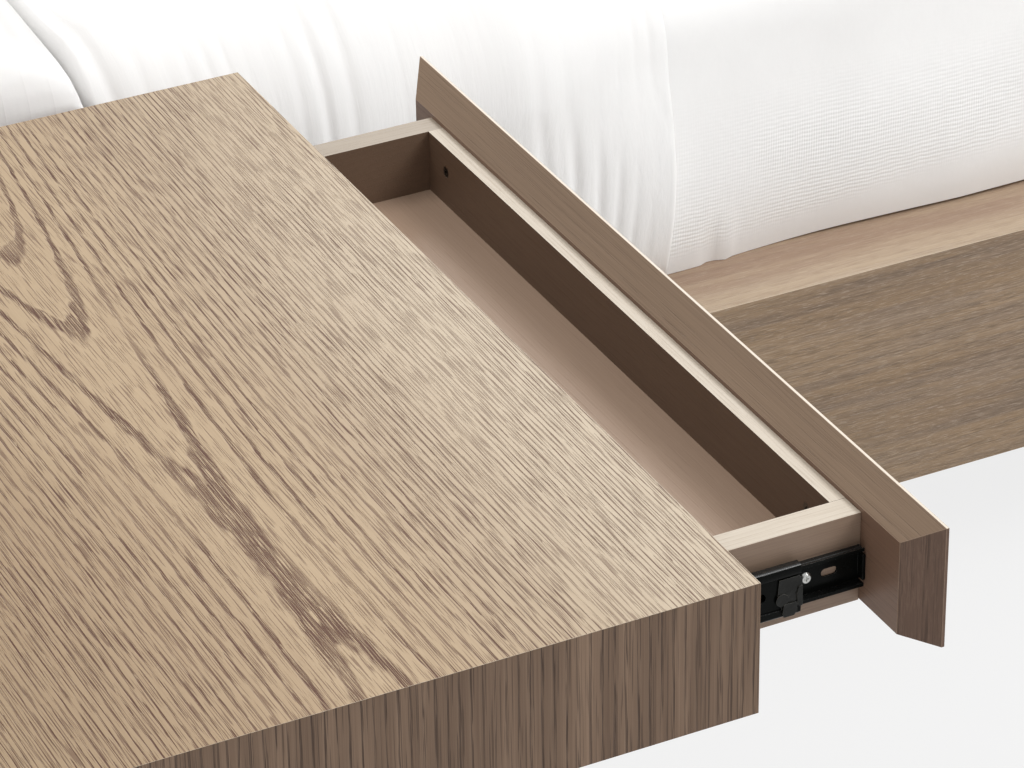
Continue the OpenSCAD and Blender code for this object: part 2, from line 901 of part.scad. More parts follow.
// Moulded stop clipped over the web at the middle member's front end: a plate between the tracks,
// a round boss, a lip round the web's end, and a foot that laps the lower track
module slide_stop() {
    back = middle_t1 + 1.1;
    plate = web_t + 1.1;
    low = middle_r - track_h;
    translate([web_t, 0, 0])
        rotate([0, 90, 0]) {
            linear_extrude(plate - web_t)
                polygon([
                    [-10, slide_y + 1], [-10, slide_y + 15], [0, slide_y + 16], [low - 0.3, slide_y + 13],
                    [low - 0.3, slide_y + 1]
                ]);
            translate([4, slide_y + 13, 0]) cylinder(r = 4.2, h = back - web_t - 0.4);
            linear_extrude(back - web_t)
                polygon([
                    [-3, slide_y - 0.5], [-3, slide_y + 2], [2, slide_y + 3.4], [low - 0.3, slide_y + 2],
                    [low - 0.3, slide_y - 0.5]
                ]);
        }
    translate([middle_t1 + 0.2, 0, 0])
        rotate([0, 90, 0])
            linear_extrude(back - middle_t1 - 0.2)
                polygon([
                    [low - 4, slide_y + 3], [low - 4, slide_y + 12], [low + 2, slide_y + 13],
                    [middle_r - 1, slide_y + 12], [middle_r - 1, slide_y + 5], [low + 2, slide_y + 3]
                ]);
    block([plate - 0.1, slide_y + 4, -low + 0.3], [back, slide_y + 11, -low + 4]);
    translate([web_t - slide_gauge - 0.1, slide_y + 9, 0])
        rotate([0, 90, 0]) cylinder(d = stop_pin_d, h = slide_gauge + 0.2);
    block([web_t - slide_gauge - 0.1, slide_y - 0.8, -9], [plate, slide_y - 0.2, 9]);
    block([web_t + 0.1, slide_y - 0.3, -9], [plate, slide_y + 4, 9]);
}

module case_member() {
    difference() {
        along_y(slide_y, slide_y + slide_l) case_profile();
        at_case_screws() screw_bore(slide_case_gauge + 1);
    }
}

module case_slides(side) {
    color("darkslategray") on_side(side) at_slides() case_member();
}

module drawer_slides(side) {
    color("darkslategray") in_drawer(side) at_slides() drawer_member();
}

module drawer_screws(side) {
    color("silver")
        in_drawer(side) {
            at_front_screws() front_screw();
            at_slides() at_member_screws() pan_screw(screw_bite);
        }
}

module slide_screws() {
    color("silver")
        both_sides() at_nightstand() at_slides() at_case_screws() pan_screw(screw_bite);
}

// The middle members follow their drawer by their share of its travel
module in_middle(side) {
    on_side(side) translate([0, -middle_share * (side > 0 ? right_open : left_open), 0]) children();
}

// ---------------------------------------------------------------- soft pieces

function clamp(v, low, high) = min(max(v, low), high);
function smooth(v) = let(c = clamp(v, 0, 1)) c * c * (3 - 2 * c);

// Points round a rounded rectangle with half sizes a and b and corner radius r
function round_rect(a, b, r, n) = [
    for (q = [0:3])
        for (i = [0:n])
            let(t = 90 * (q + i / n), sx = (q == 0 || q == 3) ? 1 : -1, sy = q < 2 ? 1 : -1)
            [sx * (a - r) + r * cos(t), sy * (b - r) + r * sin(t)]
];

// A closed skin through equal rings, with a point at each end
module ring_skin(rings, low_point, high_point) {
    n = len(rings[0]);
    m = len(rings);
    points = concat([low_point], [for (ring = rings) for (p = ring) p], [high_point]);
    last = 1 + n * m;
    faces = concat(
        [for (i = [0:n - 1]) [0, 1 + i, 1 + (i + 1) % n]],
        [
            for (k = [0:m - 2])
                for (i = [0:n - 1])
                    let(a = 1 + k * n + i, b = 1 + k * n + (i + 1) % n)
                    each [[a, a + n, b], [b, a + n, b + n]]
        ],
        [for (i = [0:n - 1]) [last, 1 + (m - 1) * n + (i + 1) % n, 1 + (m - 1) * n + i]]
    );
    polyhedron(points, faces);
}

// Boxed mattress: soft edges, a slight bulge of its border and a crown on top
module mattress() {
    bulge = 2.5;
    a = mattress_w / 2;
    b = mattress_l / 2;
    e = mattress_edge;
    steps = [for (i = [0:4]) i * 22.5];
    low = [for (t = steps) [e * (1 - sin(t)), e * (1 - cos(t)), 0]];
    mid = [for (h = [0.25, 0.5, 0.75]) [-bulge * sin(180 * h), e + h * (mattress_t - 2 * e), 0]];
    high = [for (t = steps) [e * (1 - cos(t)), mattress_t - e + e * sin(t), 0]];
    crown = [for (k = [0.35, 0.7]) [e + k * (a - e), mattress_t, smooth(k / 0.7) * mattress_crown]];
    rings = [
        for (s = concat([[a * 0.5, 0, 0]], low, mid, high, crown))
            [
                for (p = round_rect(a - s[0], b - s[0], max(mattress_corner - s[0], 12), 5))
                    [p[0], p[1], slat_top + s[1] + s[2]]
            ]
    ];
    color("whitesmoke")
        ring_skin(rings, [0, 0, slat_top], [0, 0, slat_top + mattress_t + mattress_crown]);
}

// A cloth lies on the mattress at the height off and drops over its edges. across and along are
// lengths on the cloth from the mattress's middle; the result is a point in space.
function drape(across, along, off) =
    let(
        core_x = mattress_w / 2 - mattress_corner,
        core_y = mattress_l / 2 - mattress_corner,
        dx = abs(across) - core_x,
        dy = -along - core_y,
        d = max(dx, dy, 0),
        turn = dx <= 0 ? 90 : dy <= 0 ? 0 : 90 * dy / (dx + dy),
        flat = mattress_corner - mattress_edge,
        arc = mattress_edge * PI / 2,
        bend = clamp((d - flat) / arc, 0, 1) * 90,
        out = min(d, flat) + (mattress_edge + off) * sin(bend),
        drop = max(d - flat - arc, 0),
        z = mattress_top - mattress_edge + (mattress_edge + off) * cos(bend) - drop,
        side = across < 0 ? -1 : 1,
        x = min(abs(across), core_x) + out * cos(turn),
        y = max(along, -core_y) - out * sin(turn)
    )
    d == 0 ? [across, along, mattress_top + off] : [side * x, y, z];

// Length of cloth from the mattress's middle down to a hem at height z
function hem_length(half, z) =
    half - mattress_edge + mattress_edge * PI / 2 + (mattress_top - mattress_edge - z);

// A cloth of some thickness through two grids of points, closed round its edges
module cloth_skin(outer, inner) {
    m = len(outer);
    n = len(outer[0]);
    points = concat([for (row = outer) for (p = row) p], [for (row = inner) for (p = row) p]);
    k = m * n;
    faces = concat(
        [
            for (i = [0:m - 2])
                for (j = [0:n - 2])
                    let(a = i * n + j)
                    each [
                        [a, a + n, a + n + 1], [a, a + n + 1, a + 1],
                        [k + a, k + a + n + 1, k + a + n], [k + a, k + a + 1, k + a + n + 1]
                    ]
        ],
        [
            for (i = [0:m - 2])
                let(a = i * n, b = i * n + n - 1)
                each [
                    [a, k + a, a + n], [a + n, k + a, k + a + n],
                    [b, b + n, k + b], [b + n, k + b + n, k + b]
                ]
        ],
        [
            for (j = [0:n - 2])
                let(a = j, b = (m - 1) * n + j)
                each [
                    [a, a + 1, k + a], [a + 1, k + a + 1, k + a],
                    [b, k + b, b + 1], [b + 1, k + b, k + b + 1]
                ]
        ]
    );
    polyhedron(points, faces);
}

// Stations from the mattress's upright corners outwards: level, over the edge, then down to a hem
function edge_stations(half, length, n_drop) =
    let(edge = half - mattress_corner, flat = half - mattress_edge, arc = mattress_edge * PI / 2)
    concat(
        [edge],
        [for (i = [0:4]) flat + i / 4 * arc],
        [for (i = [1:n_drop]) flat + arc + i / n_drop * (length - flat - arc)]
    );

// Stations across a cloth, from the mattress's middle to a side hem
function stations(half, length, n_top, n_drop) =
    concat(
        [for (i = [0:n_top - 1]) i / n_top * (half - mattress_corner)],
        edge_stations(half, length, n_drop)
    );

function mirrored(list) = concat([for (i = [len(list) - 1:-1:1]) -list[i]], list);

// Blanket: over the sides and the foot of the mattress, its hem on the rails' ledge
module waffle_blanket() {
    hem = rail_top + seat_gap;
    xs = mirrored(stations(mattress_w / 2, hem_length(mattress_w / 2, hem), 3, 5));
    head_end = night_y - duvet_foot + (duvet_foot + duvet_head) * 0.7;
    foot_edge = mattress_l / 2 - mattress_corner;
    ys = concat(
        [for (i = [0:6]) head_end - i / 7 * (head_end + foot_edge)],
        [for (s = edge_stations(mattress_l / 2, hem_length(mattress_l / 2, hem), 5)) -s]
    );
    color("ghostwhite")
        cloth_skin(
            [for (x = xs) [for (y = ys) drape(x, y, blanket_ease + blanket_t + blanket_ripple(x, y))]],
            [for (x = xs) [for (y = ys) drape(x, y, blanket_ease)]]
        );
}

// Soft waves where the blanket hangs, none on top of the bed
function blanket_ripple(x, y) =
    let(
        side = smooth((abs(x) - mattress_w / 2) / 120) * sin(y * 1.7 + 40),
        foot = smooth((-y - mattress_l / 2) / 120) * sin(x * 1.9)
    )
    -blanket_wave * (1 + clamp(side + foot, -1, 1)) / 2;

// Folded duvet: a band across the bed, with folds that run across it and down both sides
module folded_duvet() {
    hem = rail_top + seat_gap;
    rest = blanket_ease + blanket_t + seat_gap;
    y0 = night_y - duvet_foot;
    y1 = night_y + duvet_head;
    folds = round((y1 - y0) / duvet_fold_pitch);
    rows = folds * 2;
    xs = mirrored(stations(mattress_w / 2, hem_length(mattress_w / 2, hem), 3, 5));
    ys = [for (i = [0:rows]) y1 + i / rows * (y0 - y1)];
    color("white")
        cloth_skin(
            [for (x = xs) [for (i = [0:rows]) drape(x, ys[i], rest + duvet_loft(x, i, rows))]],
            [for (x = xs) [for (y = ys) drape(x, y, rest)]]
        );
}

// Thickness of the duvet: high on top, thin where it hangs, lower at each fold line and edge
function duvet_loft(x, i, rows) =
    let(
        hang = smooth((abs(x) - mattress_w / 2 + mattress_edge) / 220),
        body = duvet_top_t + (duvet_side_t - duvet_top_t) * hang,
        edge = min(i, rows - i) == 0 ? 0.55 : 1,
        fold = i % 2 == 0 ? 1 : 0
    )
    body * edge - duvet_fold * fold;

// Pillow: crowned on both faces, its four sides drawn in between the corners. It fills the room
// from the duvet to the headboard, and its own weight leaves it flatter below than above.
module pillow(centre_x) {
    n = 16;
    m = 14;
    front = night_y + duvet_head + pillow_gap;
    back = head_y - pillow_back_gap;
    a = pillow_w / 2;
    b = (back - front) / 2;
    draw_in = 0.05;
    z0 = mattress_top + mattress_crown / 3 + seat_gap + pillow_rise;
    y0 = (front + back) / 2;
    function grid(lift) = [
        for (i = [0:n])
            [
                for (j = [0:m])
                    let(
                        u = sin(90 * (2 * i / n - 1)),
                        v = sin(90 * (2 * j / m - 1)),
                        x = a * u * (1 - draw_in * (1 - v * v)),
                        y = b * v * (1 - draw_in * (1 - u * u)),
                        crown = pow(1 - pow(abs(u), 3), 0.5) * pow(1 - pow(abs(v), 3), 0.5)
                    )
                    [centre_x + x, y0 + y, z0 + lift * crown]
            ]
    ];
    color("gainsboro") pillow_skin(grid(pillow_t - pillow_rise), grid(-pillow_rise));
}

// Upper and lower grids share their rim; each cell is split away from its nearest corner
module pillow_skin(upper, lower) {
    n = len(upper);
    m = len(upper[0]);
    k = n * m;
    points = concat([for (row = upper) for (p = row) p], [for (row = lower) for (p = row) p]);
    function on_rim(i, j) = i == 0 || j == 0 || i == n - 1 || j == m - 1;
    function low(i, j) = on_rim(i, j) ? i * m + j : k + i * m + j;
    function up(i, j) = i * m + j;
    faces = [
        for (i = [0:n - 2])
            for (j = [0:m - 2])
                let(
                    turn = (i < (n - 1) / 2) != (j < (m - 1) / 2),
                    a = turn ? [i + 1, j] : [i, j],
                    b = turn ? [i + 1, j + 1] : [i + 1, j],
                    c = turn ? [i, j + 1] : [i + 1, j + 1],
                    d = turn ? [i, j] : [i, j + 1]
                )
                each [
                    [up(a[0], a[1]), up(c[0], c[1]), up(b[0], b[1])],
                    [up(a[0], a[1]), up(d[0], d[1]), up(c[0], c[1])],
                    [low(a[0], a[1]), low(b[0], b[1]), low(c[0], c[1])],
                    [low(a[0], a[1]), low(c[0], c[1]), low(d[0], d[1])]
                ]
    ];
    polyhedron(points, faces);
}

pillow_x = mattress_w / 2 + pillow_overhang - pillow_w / 2;

module left_pillow() { pillow(-pillow_x); }
module right_pillow() { pillow(pillow_x); }

// ---------------------------------------------------------------- the pieces, one at a time

headboard_centre_panel();
headboard_left_wing();
headboard_right_wing();
headboard_uprights();
left_side_rail();
right_side_rail();
foot_rail();
slat_ledgers();
centre_beam();
slats();
foot_legs();
centre_legs();
floor_glides();
corner_brackets();
frame_bolts();
nightstand_brackets();
slide_screws();
mattress();
waffle_blanket();
folded_duvet();
left_pillow();
right_pillow();

for (side = [-1, 1]) {
    name = side < 0 ? "left_" : "right_";
    case_top(side);
    case_bottom(side);
    case_outer_end(side);
    case_bed_end(side);
    case_back(side);
    slide_packers(side);
    case_slides(side);
    drawer_front(side);
    box_end(side, box_y0);
    box_side(side, box_x0);
    box_side(side, box_x1 - box_side_t);
    box_end(side, box_y1 - box_end_t);
    drawer_floor(side);
    drawer_slides(side);
    drawer_screws(side);
    color("darkslategray") in_middle(side) at_outer_slide() middle_member();
    color("darkslategray") in_middle(side) at_bed_slide() middle_member();
    color("gray") in_middle(side) at_outer_slide() slide_stop();
    color("gray") in_middle(side) at_bed_slide() slide_stop();
}
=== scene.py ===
"""Bed with a nightstand hung on each wing of its headboard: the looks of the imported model."""

import json

import bmesh
import bpy
import numpy as np
from mathutils import Matrix, Vector


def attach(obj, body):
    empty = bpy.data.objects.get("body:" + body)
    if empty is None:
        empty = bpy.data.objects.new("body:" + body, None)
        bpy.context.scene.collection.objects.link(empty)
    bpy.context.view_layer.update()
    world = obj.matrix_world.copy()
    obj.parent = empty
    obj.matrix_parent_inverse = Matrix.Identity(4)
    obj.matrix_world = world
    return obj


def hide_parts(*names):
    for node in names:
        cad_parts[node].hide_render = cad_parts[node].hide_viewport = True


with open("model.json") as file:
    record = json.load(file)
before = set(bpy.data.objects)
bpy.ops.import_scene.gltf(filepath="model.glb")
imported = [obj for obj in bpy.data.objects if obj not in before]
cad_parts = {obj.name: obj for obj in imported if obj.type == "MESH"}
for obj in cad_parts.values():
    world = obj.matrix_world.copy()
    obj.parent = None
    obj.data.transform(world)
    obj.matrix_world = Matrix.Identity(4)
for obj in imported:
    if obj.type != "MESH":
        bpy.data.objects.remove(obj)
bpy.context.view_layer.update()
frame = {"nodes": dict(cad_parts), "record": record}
nodes = frame["nodes"]


# ---- Camera
# Looks down over the left nightstand from beyond its outer end, towards the bed's foot,
# with a long lens.

camera = bpy.data.objects.new("camera", bpy.data.cameras.new("camera"))
bpy.context.collection.objects.link(camera)
camera.data.lens = 152.83
camera.data.clip_end = 60
camera.matrix_world = Matrix((
    (-0.45001, 0.44730, -0.77293, -3.39956),
    (-0.89292, -0.23870, 0.38173, 1.53482),
    (-0.01375, 0.86194, 0.50682, 1.97157),
    (0, 0, 0, 1),
))
bpy.context.scene.camera = camera
bpy.context.scene.view_settings.view_transform = "Standard"


# ---- Floor and studio light
# A pale studio floor that runs out of view on all sides, an even pale surround, and soft
# boxes above and beside the bed.

def step(tree, kind, *sockets, **settings):
    """Adds one shader node; sockets fill its inputs in order, and None leaves one as it is."""
    made = tree.nodes.new("ShaderNode" + kind)
    for name, value in settings.items():
        setattr(made, name, value)
    for socket, value in zip(made.inputs, sockets):
        if isinstance(value, bpy.types.NodeSocket):
            tree.links.new(value, socket)
        elif value is not None:
            socket.default_value = value
    return made.outputs[0]


def calc(tree, operation, a, b=None, c=None):
    """One sum of up to three numbers or sockets."""
    return step(tree, "Math", a, b, c, operation=operation)


def seen_share(tree):
    """1 for rays from the camera or off gloss and through glass, 0 for the light on the object."""
    path = tree.nodes.new("ShaderNodeLightPath")
    return calc(tree, "MAXIMUM", path.outputs["Is Camera Ray"],
                calc(tree, "MAXIMUM", path.outputs["Is Glossy Ray"],
                     path.outputs["Is Transmission Ray"]))


floor_tone = (0.90, 0.90, 0.90, 1)
floor_glow = 0.92
floor_size = 14.0
floor_paint = bpy.data.materials.new("pale_floor")
floor_paint.use_nodes = True
tree = floor_paint.node_tree
tree.nodes.clear()
shade = step(tree, "BsdfDiffuse", floor_tone)
glow = step(tree, "Emission", floor_tone, 1.0)
share = calc(tree, "MULTIPLY", seen_share(tree), floor_glow)
tree.links.new(step(tree, "MixShader", share, shade, glow),
               tree.nodes.new("ShaderNodeOutputMaterial").inputs["Surface"])
floor_mesh = bpy.data.meshes.new("floor")
floor_mesh.from_pydata(
    [(-floor_size, -floor_size, 0), (floor_size, -floor_size, 0),
     (floor_size, floor_size, 0), (-floor_size, floor_size, 0)], [], [(0, 1, 2, 3)])
floor_mesh.materials.append(floor_paint)
floor = bpy.data.objects.new("floor", floor_mesh)
bpy.context.collection.objects.link(floor)

surround = bpy.data.worlds.new("surround")
bpy.context.scene.world = surround
surround.use_nodes = True
tree = surround.node_tree
tree.nodes.clear()
ambient = step(tree, "Background", (1, 1, 1, 1), 0.52)
backdrop = step(tree, "Background", floor_tone, 1.0)
tree.links.new(step(tree, "MixShader", seen_share(tree), ambient, backdrop),
               tree.nodes.new("ShaderNodeOutputWorld").inputs["Surface"])


def soft_box(name, place, aim, size, power):
    """A square soft box at a place, turned to an aim point."""
    lamp = bpy.data.objects.new(name, bpy.data.lights.new(name, "AREA"))
    lamp.data.size = size
    lamp.data.energy = power
    lamp.location = place
    lamp.rotation_euler = (Vector(aim) - Vector(place)).to_track_quat("-Z", "Y").to_euler()
    bpy.context.collection.objects.link(lamp)


soft_box("key_box", (-3.2, -2.6, 4.2), (-0.9, 0.3, 0.5), 2.4, 140)
soft_box("top_box", (-0.6, 1.8, 4.6), (-0.9, 0.5, 0.5), 3.0, 70)
soft_box("far_box", (4.2, -3.2, 3.6), (0.4, 0, 0.5), 3.0, 90)


# ---- Nightstand tops and bottoms
# Board veneered with oak, mitred to the ends. The grain runs along the nightstand, and the
# top leaf has its cathedral in the middle of its depth. Edges are eased by hand.

def oak(name, light, deep, pore, along, across, depth, heart=(-2.0, 0.2), dip=(0.0, 0.0),
        ring=0.006, wander=0.0016, jag=0.0006, stroke=(45, 900), band=(0.03, 0.10, 0.22, 0.32),
        pore_share=0.95, cut=(0.42, 0.50), stray=(0.63, 0.69, 0.5), patches=(1.6, 7), pale=None,
        streak=None, fleck=None, crowd=None, rough=(0.42, 0.54), relief=0.00015):
    """Oak veneer. The year rings lie round a heart line that runs along the grain and curves
    up to the leaf away from its deepest spot, so R = sqrt(across² + (depth + bend · along²)²)
    plus a soft wander and a fine jag. crowd sets the rings closer from a distance on:
    R + rate · max(R - from, 0)². The pores are short dark strokes along the grain, thick in
    the early wood of each ring, with stray ones between. pale tints the leaf from one line
    across the grain to another, with its share changing along it, streak runs soft bands of
    a second tone along the grain, and fleck adds fine bleached strokes."""
    paint = bpy.data.materials.new(name)
    paint.use_nodes = True
    tree = paint.node_tree
    gloss = tree.nodes["Principled BSDF"]
    place = tree.nodes.new("ShaderNodeTexCoord").outputs["Object"]
    parts = tree.nodes.new("ShaderNodeSeparateXYZ")
    tree.links.new(place, parts.inputs[0])
    a, c, d = (parts.outputs[axis] for axis in (along, across, depth))

    def noise(lengthways, sideways, detail=2.0, roughness=0.5, shift=0.0):
        """Noise that is drawn out along the grain, as waves per metre along and across."""
        spot = step(tree, "CombineXYZ", calc(tree, "MULTIPLY_ADD", a, lengthways, shift),
                    calc(tree, "MULTIPLY_ADD", c, sideways, shift),
                    calc(tree, "MULTIPLY", d, sideways))
        return step(tree, "TexNoise", spot, None, 1.0, detail, roughness)

    def ramp(value, low, high, start_at=0.0, end_at=1.0):
        """A smooth ramp of a value between two limits."""
        return step(tree, "MapRange", value, low, high, start_at, end_at,
                    interpolation_type="SMOOTHSTEP")

    side = calc(tree, "SUBTRACT", c, heart[0])
    run = calc(tree, "SUBTRACT", a, dip[0])
    below = calc(tree, "SUBTRACT", calc(tree, "SUBTRACT", d, heart[1]),
                 calc(tree, "MULTIPLY", calc(tree, "MULTIPLY", run, run), dip[1]))
    radius = calc(tree, "SQRT", calc(tree, "ADD", calc(tree, "MULTIPLY", side, side),
                                     calc(tree, "MULTIPLY", below, below)))
    if crowd:
        beyond = calc(tree, "MAXIMUM", calc(tree, "SUBTRACT", radius, crowd[0]), 0.0)
        squared = calc(tree, "MULTIPLY", beyond, beyond)
        radius = calc(tree, "MULTIPLY_ADD", squared, crowd[1], radius)
    wandering = calc(tree, "MULTIPLY_ADD", noise(2.2, 9, shift=3.1), 2 * wander, -wander)
    jagged = calc(tree, "MULTIPLY_ADD", noise(38, 170, 1.0), 2 * jag, -jag)
    bent = calc(tree, "ADD", wandering, jagged)
    phase = calc(tree, "FRACT", calc(tree, "DIVIDE", calc(tree, "ADD", radius, bent), ring))
    early = calc(tree, "MULTIPLY", ramp(phase, band[0], band[1]),
                 ramp(phase, band[2], band[3], 1.0, 0.0))
    thick = ramp(noise(6, 30, shift=7.7), 0.32, 0.55, 0.6, 1.0)
    strokes = ramp(noise(stroke[0], stroke[1], 1.0, shift=1.7), cut[0], cut[1])
    strays = ramp(noise(stroke[0] * 0.9, stroke[1] * 1.4, 0.0, shift=5.3),
                  stray[0], stray[1], 0.0, stray[2])
    split = ramp(noise(30, 2400, 1.0, shift=6.2), 0.40, 0.52, 0.25, 1.0)
    pores = calc(tree, "MAXIMUM", calc(tree, "MULTIPLY", calc(tree, "MULTIPLY", early, thick),
                                       calc(tree, "MULTIPLY", strokes, split)), strays)
    fibre = step(tree, "MapRange", noise(9, 1500, 2.0, 0.6), 0.3, 0.7, 0.0, 1.0)
    tone = step(tree, "MixRGB", ramp(noise(*patches, 3.0, shift=2.3), 0.3, 0.7),
                light + (1,), deep + (1,))
    pore_tone = step(tree, "RGB")
    pore_tone.default_value = pore + (1,)
    if pale:
        share = calc(tree, "MULTIPLY", ramp(c, pale[0], pale[1]), ramp(a, *pale[3]))
        tone = step(tree, "MixRGB", share, tone, pale[2] + (1,))
        pore_tone = step(tree, "MixRGB", calc(tree, "MULTIPLY", share, 0.15),
                         pore_tone, pale[2] + (1,))
    darker = step(tree, "MixRGB", 1.0, tone, tuple(v / u for v, u in zip(deep, light)) + (1,),
                  blend_type="MULTIPLY")
    late = calc(tree, "MULTIPLY_ADD", fibre, 0.7, calc(tree, "MULTIPLY", phase, 0.3))
    tone = step(tree, "MixRGB", late, tone, darker)
    if streak:
        banded = ramp(noise(5, 75, 5.0, 0.65, shift=4.4), 0.36, 0.64, 0.0, streak[0])
        tone = step(tree, "MixRGB", banded, tone, streak[1] + (1,))
    if fleck:
        bleached = ramp(noise(85, 900, 3.0, 0.7, shift=9.1),
                        fleck[0], fleck[0] + 0.16, 0.0, fleck[1])
        tone = step(tree, "MixRGB", bleached, tone, fleck[2] + (1,))
    tree.links.new(step(tree, "MixRGB", calc(tree, "MULTIPLY", pores, pore_share), tone, pore_tone),
                   gloss.inputs["Base Color"])
    tree.links.new(step(tree, "MapRange", pores, 0.0, 1.0, rough[0], rough[1]),
                   gloss.inputs["Roughness"])
    bump = tree.nodes.new("ShaderNodeBump")
    bump.invert = True
    bump.inputs["Distance"].default_value = relief
    tree.links.new(calc(tree, "MULTIPLY_ADD", fibre, 0.12, pores), bump.inputs["Height"])
    tree.links.new(bump.outputs[0], gloss.inputs["Normal"])
    gloss.inputs["Specular IOR Level"].default_value = 0.35
    return paint


def board(node, name, paints, ease=0.0009, level=False, round_faces=False):
    """A piece of the model with its edges eased: its faces are joined, and each takes the
    paint of the axis that it faces, in the order X, Y, Z. A fourth paint is for the eased
    edges, and where level is set a fifth is for the faces that lie dead level."""
    shape = bmesh.new()
    shape.from_mesh(nodes[node].data)
    bmesh.ops.remove_doubles(shape, verts=shape.verts, dist=1e-6)
    bmesh.ops.dissolve_limit(shape, angle_limit=0.002, verts=shape.verts, edges=shape.edges)
    for face in shape.faces:
        facing = [abs(v) for v in face.normal]
        face.material_index = 4 if level and face.normal.z > 0.99 else facing.index(max(facing))
        face.smooth = round_faces
    mesh = bpy.data.meshes.new(name)
    shape.to_mesh(mesh)
    shape.free()
    if round_faces:
        mesh.set_sharp_from_angle(angle=0.6)
    for paint in paints:
        mesh.materials.append(paint)
    piece = bpy.data.objects.new(name, mesh)
    bpy.context.collection.objects.link(piece)
    if ease:
        bevel = piece.modifiers.new("eased", "BEVEL")
        bevel.width = ease
        bevel.segments = 2
        bevel.limit_method = "ANGLE"
        bevel.angle_limit = 0.35
        bevel.use_clamp_overlap = True
        if len(paints) > 3:
            bevel.material = 3
    body = next(b for b, members in frame["record"]["behaviour"]["bodies"].items()
                if node in members)
    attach(piece, body)
    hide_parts(node)
    return piece


sides = ("left", "right")
sand, sand_deep, pore_brown = (0.488, 0.362, 0.224), (0.42, 0.30, 0.18), (0.098, 0.038, 0.018)
sand_pale_and_sheen = (0.58, 0.483, 0.356)
shaded_veneer_tones = (0.275, 0.182, 0.12), (0.175, 0.109, 0.068), (0.045, 0.023, 0.013)
arris_tones = (0.74, 0.66, 0.54), (0.66, 0.57, 0.45), (0.5, 0.40, 0.30)
heart_y, heart_bend = 0.725, -0.065
top_look = dict(ring=0.005, wander=0.0022, stroke=(36, 1000), cut=(0.38, 0.42),
                band=(0.04, 0.10, 0.28, 0.36), crowd=(0.088, 2.2), stray=(0.585, 0.66, 0.6),
                pore_share=1.0)
side_look = dict(stroke=(22, 800), cut=(0.36, 0.46), stray=(0.62, 0.70, 0.6))
# Each top's leaf is tinted paler towards its front edge, partly a paler tone of the veneer and
# partly painted sheen; the tint thins out towards the bed, a painted falloff of the light.
top_grain = {
    side: oak(f"oak_{side}_top", sand, sand_deep, pore_brown, "X", "Y", "Z",
              heart=(heart_y, heart_z), dip=(deepest_x, heart_bend),
              pale=(0.70, 0.48, sand_pale_and_sheen, painted_falloff), **top_look)
    for side, heart_z, deepest_x, painted_falloff in (
        ("left", 0.6993, -1.435, (-1.25, -0.86, 1.0, 0.55)),
        ("right", 0.6978, 1.31, (0.86, 1.25, 0.55, 1.0)))
}
edge_grain = oak("oak_pale_arris", *arris_tones, "X", "Y", "Z", pore_share=0.3)
# All faces but the top's leaf, on tops, bottoms and ends, take a darker brown copy of the same
# veneer: painted shade.
shaded_veneer = {
    "X": oak("oak_side_upright", *shaded_veneer_tones, "Z", "Y", "X", ring=0.0062, pore_share=0.9,
             patches=(3, 60), **side_look),
    "Y": oak("oak_side_long", *shaded_veneer_tones, "X", "Z", "Y", ring=0.005, pore_share=0.8,
             **side_look),
    "Z": oak("oak_side_flat", *shaded_veneer_tones, "X", "Y", "Z", ring=0.005, pore_share=0.8,
             **side_look),
}
for side in sides:
    board(f"{side}_case_top", f"{side}_nightstand_top",
          [shaded_veneer["X"], shaded_veneer["Y"], top_grain[side], edge_grain])
    board(f"{side}_case_bottom", f"{side}_nightstand_bottom",
          [shaded_veneer["X"], shaded_veneer["Y"], shaded_veneer["Z"]])


# ---- Nightstand ends
# Boards mitred to the top and bottom: the outer end, with the grain carried down it so that
# it stands upright, and the stile beside the bed.

for side in sides:
    # Both ends take the darker copy of the veneer: painted shade.
    board(f"{side}_case_outer_end", f"{side}_nightstand_outer_end",
          [shaded_veneer["X"], shaded_veneer["X"], shaded_veneer["X"]])
    board(f"{side}_case_bed_end", f"{side}_nightstand_bed_end",
          [shaded_veneer["X"], shaded_veneer["Y"], shaded_veneer["Z"]])


# ---- Drawer fronts
# Solid-edged fronts, bevelled on all four sides towards the back. Their faces take darker
# brown copies of the top's veneer, darkest on the ends, as painted shade, and the level rim
# of their upper side is painted near white as a painted highlight. Screws from inside the
# box hold them.

# Darker brown copies of the top's veneer for the faces by the way they turn, darkest on the ends:
# painted shade.
long_shade_tones = (0.262, 0.166, 0.115), (0.21, 0.128, 0.087), (0.11, 0.064, 0.043)
bevel_shade_tones = (0.272, 0.186, 0.118), (0.215, 0.142, 0.088), (0.105, 0.064, 0.039)
end_shade_tones = (0.168, 0.099, 0.066), (0.135, 0.078, 0.051), (0.07, 0.04, 0.026)
front_look = dict(ring=0.0045, stroke=(14, 1000), cut=(0.42, 0.58), stray=(0.60, 0.72, 0.4),
                  pore_share=0.5, relief=0.00008)
front_long = oak("front_long", *long_shade_tones, "X", "Z", "Y", **front_look)
front_bevel = oak("front_bevel", *bevel_shade_tones, "X", "Y", "Z", **front_look)
front_end = oak("front_end", *end_shade_tones, "Z", "Y", "X", ring=0.004, stroke=(30, 1100),
                cut=(0.40, 0.56), pore_share=0.8, fleck=(0.48, 0.3, (0.23, 0.145, 0.10)),
                relief=0.00008)
front_arris = oak("front_arris", (0.37, 0.265, 0.185), (0.31, 0.215, 0.15), (0.2, 0.13, 0.09),
                  "X", "Y", "Z", pore_share=0.3, relief=0.00004)
# The level rim is painted near white: a painted highlight.
front_rim_highlight = oak("front_rim_highlight", (0.80, 0.73, 0.62), (0.74, 0.66, 0.55), (0.6, 0.5, 0.4),
                "X", "Y", "Z", pore_share=0.2, relief=0.00004)
for side in sides:
    board(f"{side}_drawer_front", f"{side}_front",
          [front_end, front_long, front_bevel, front_arris, front_rim_highlight], ease=0.0006, level=True)
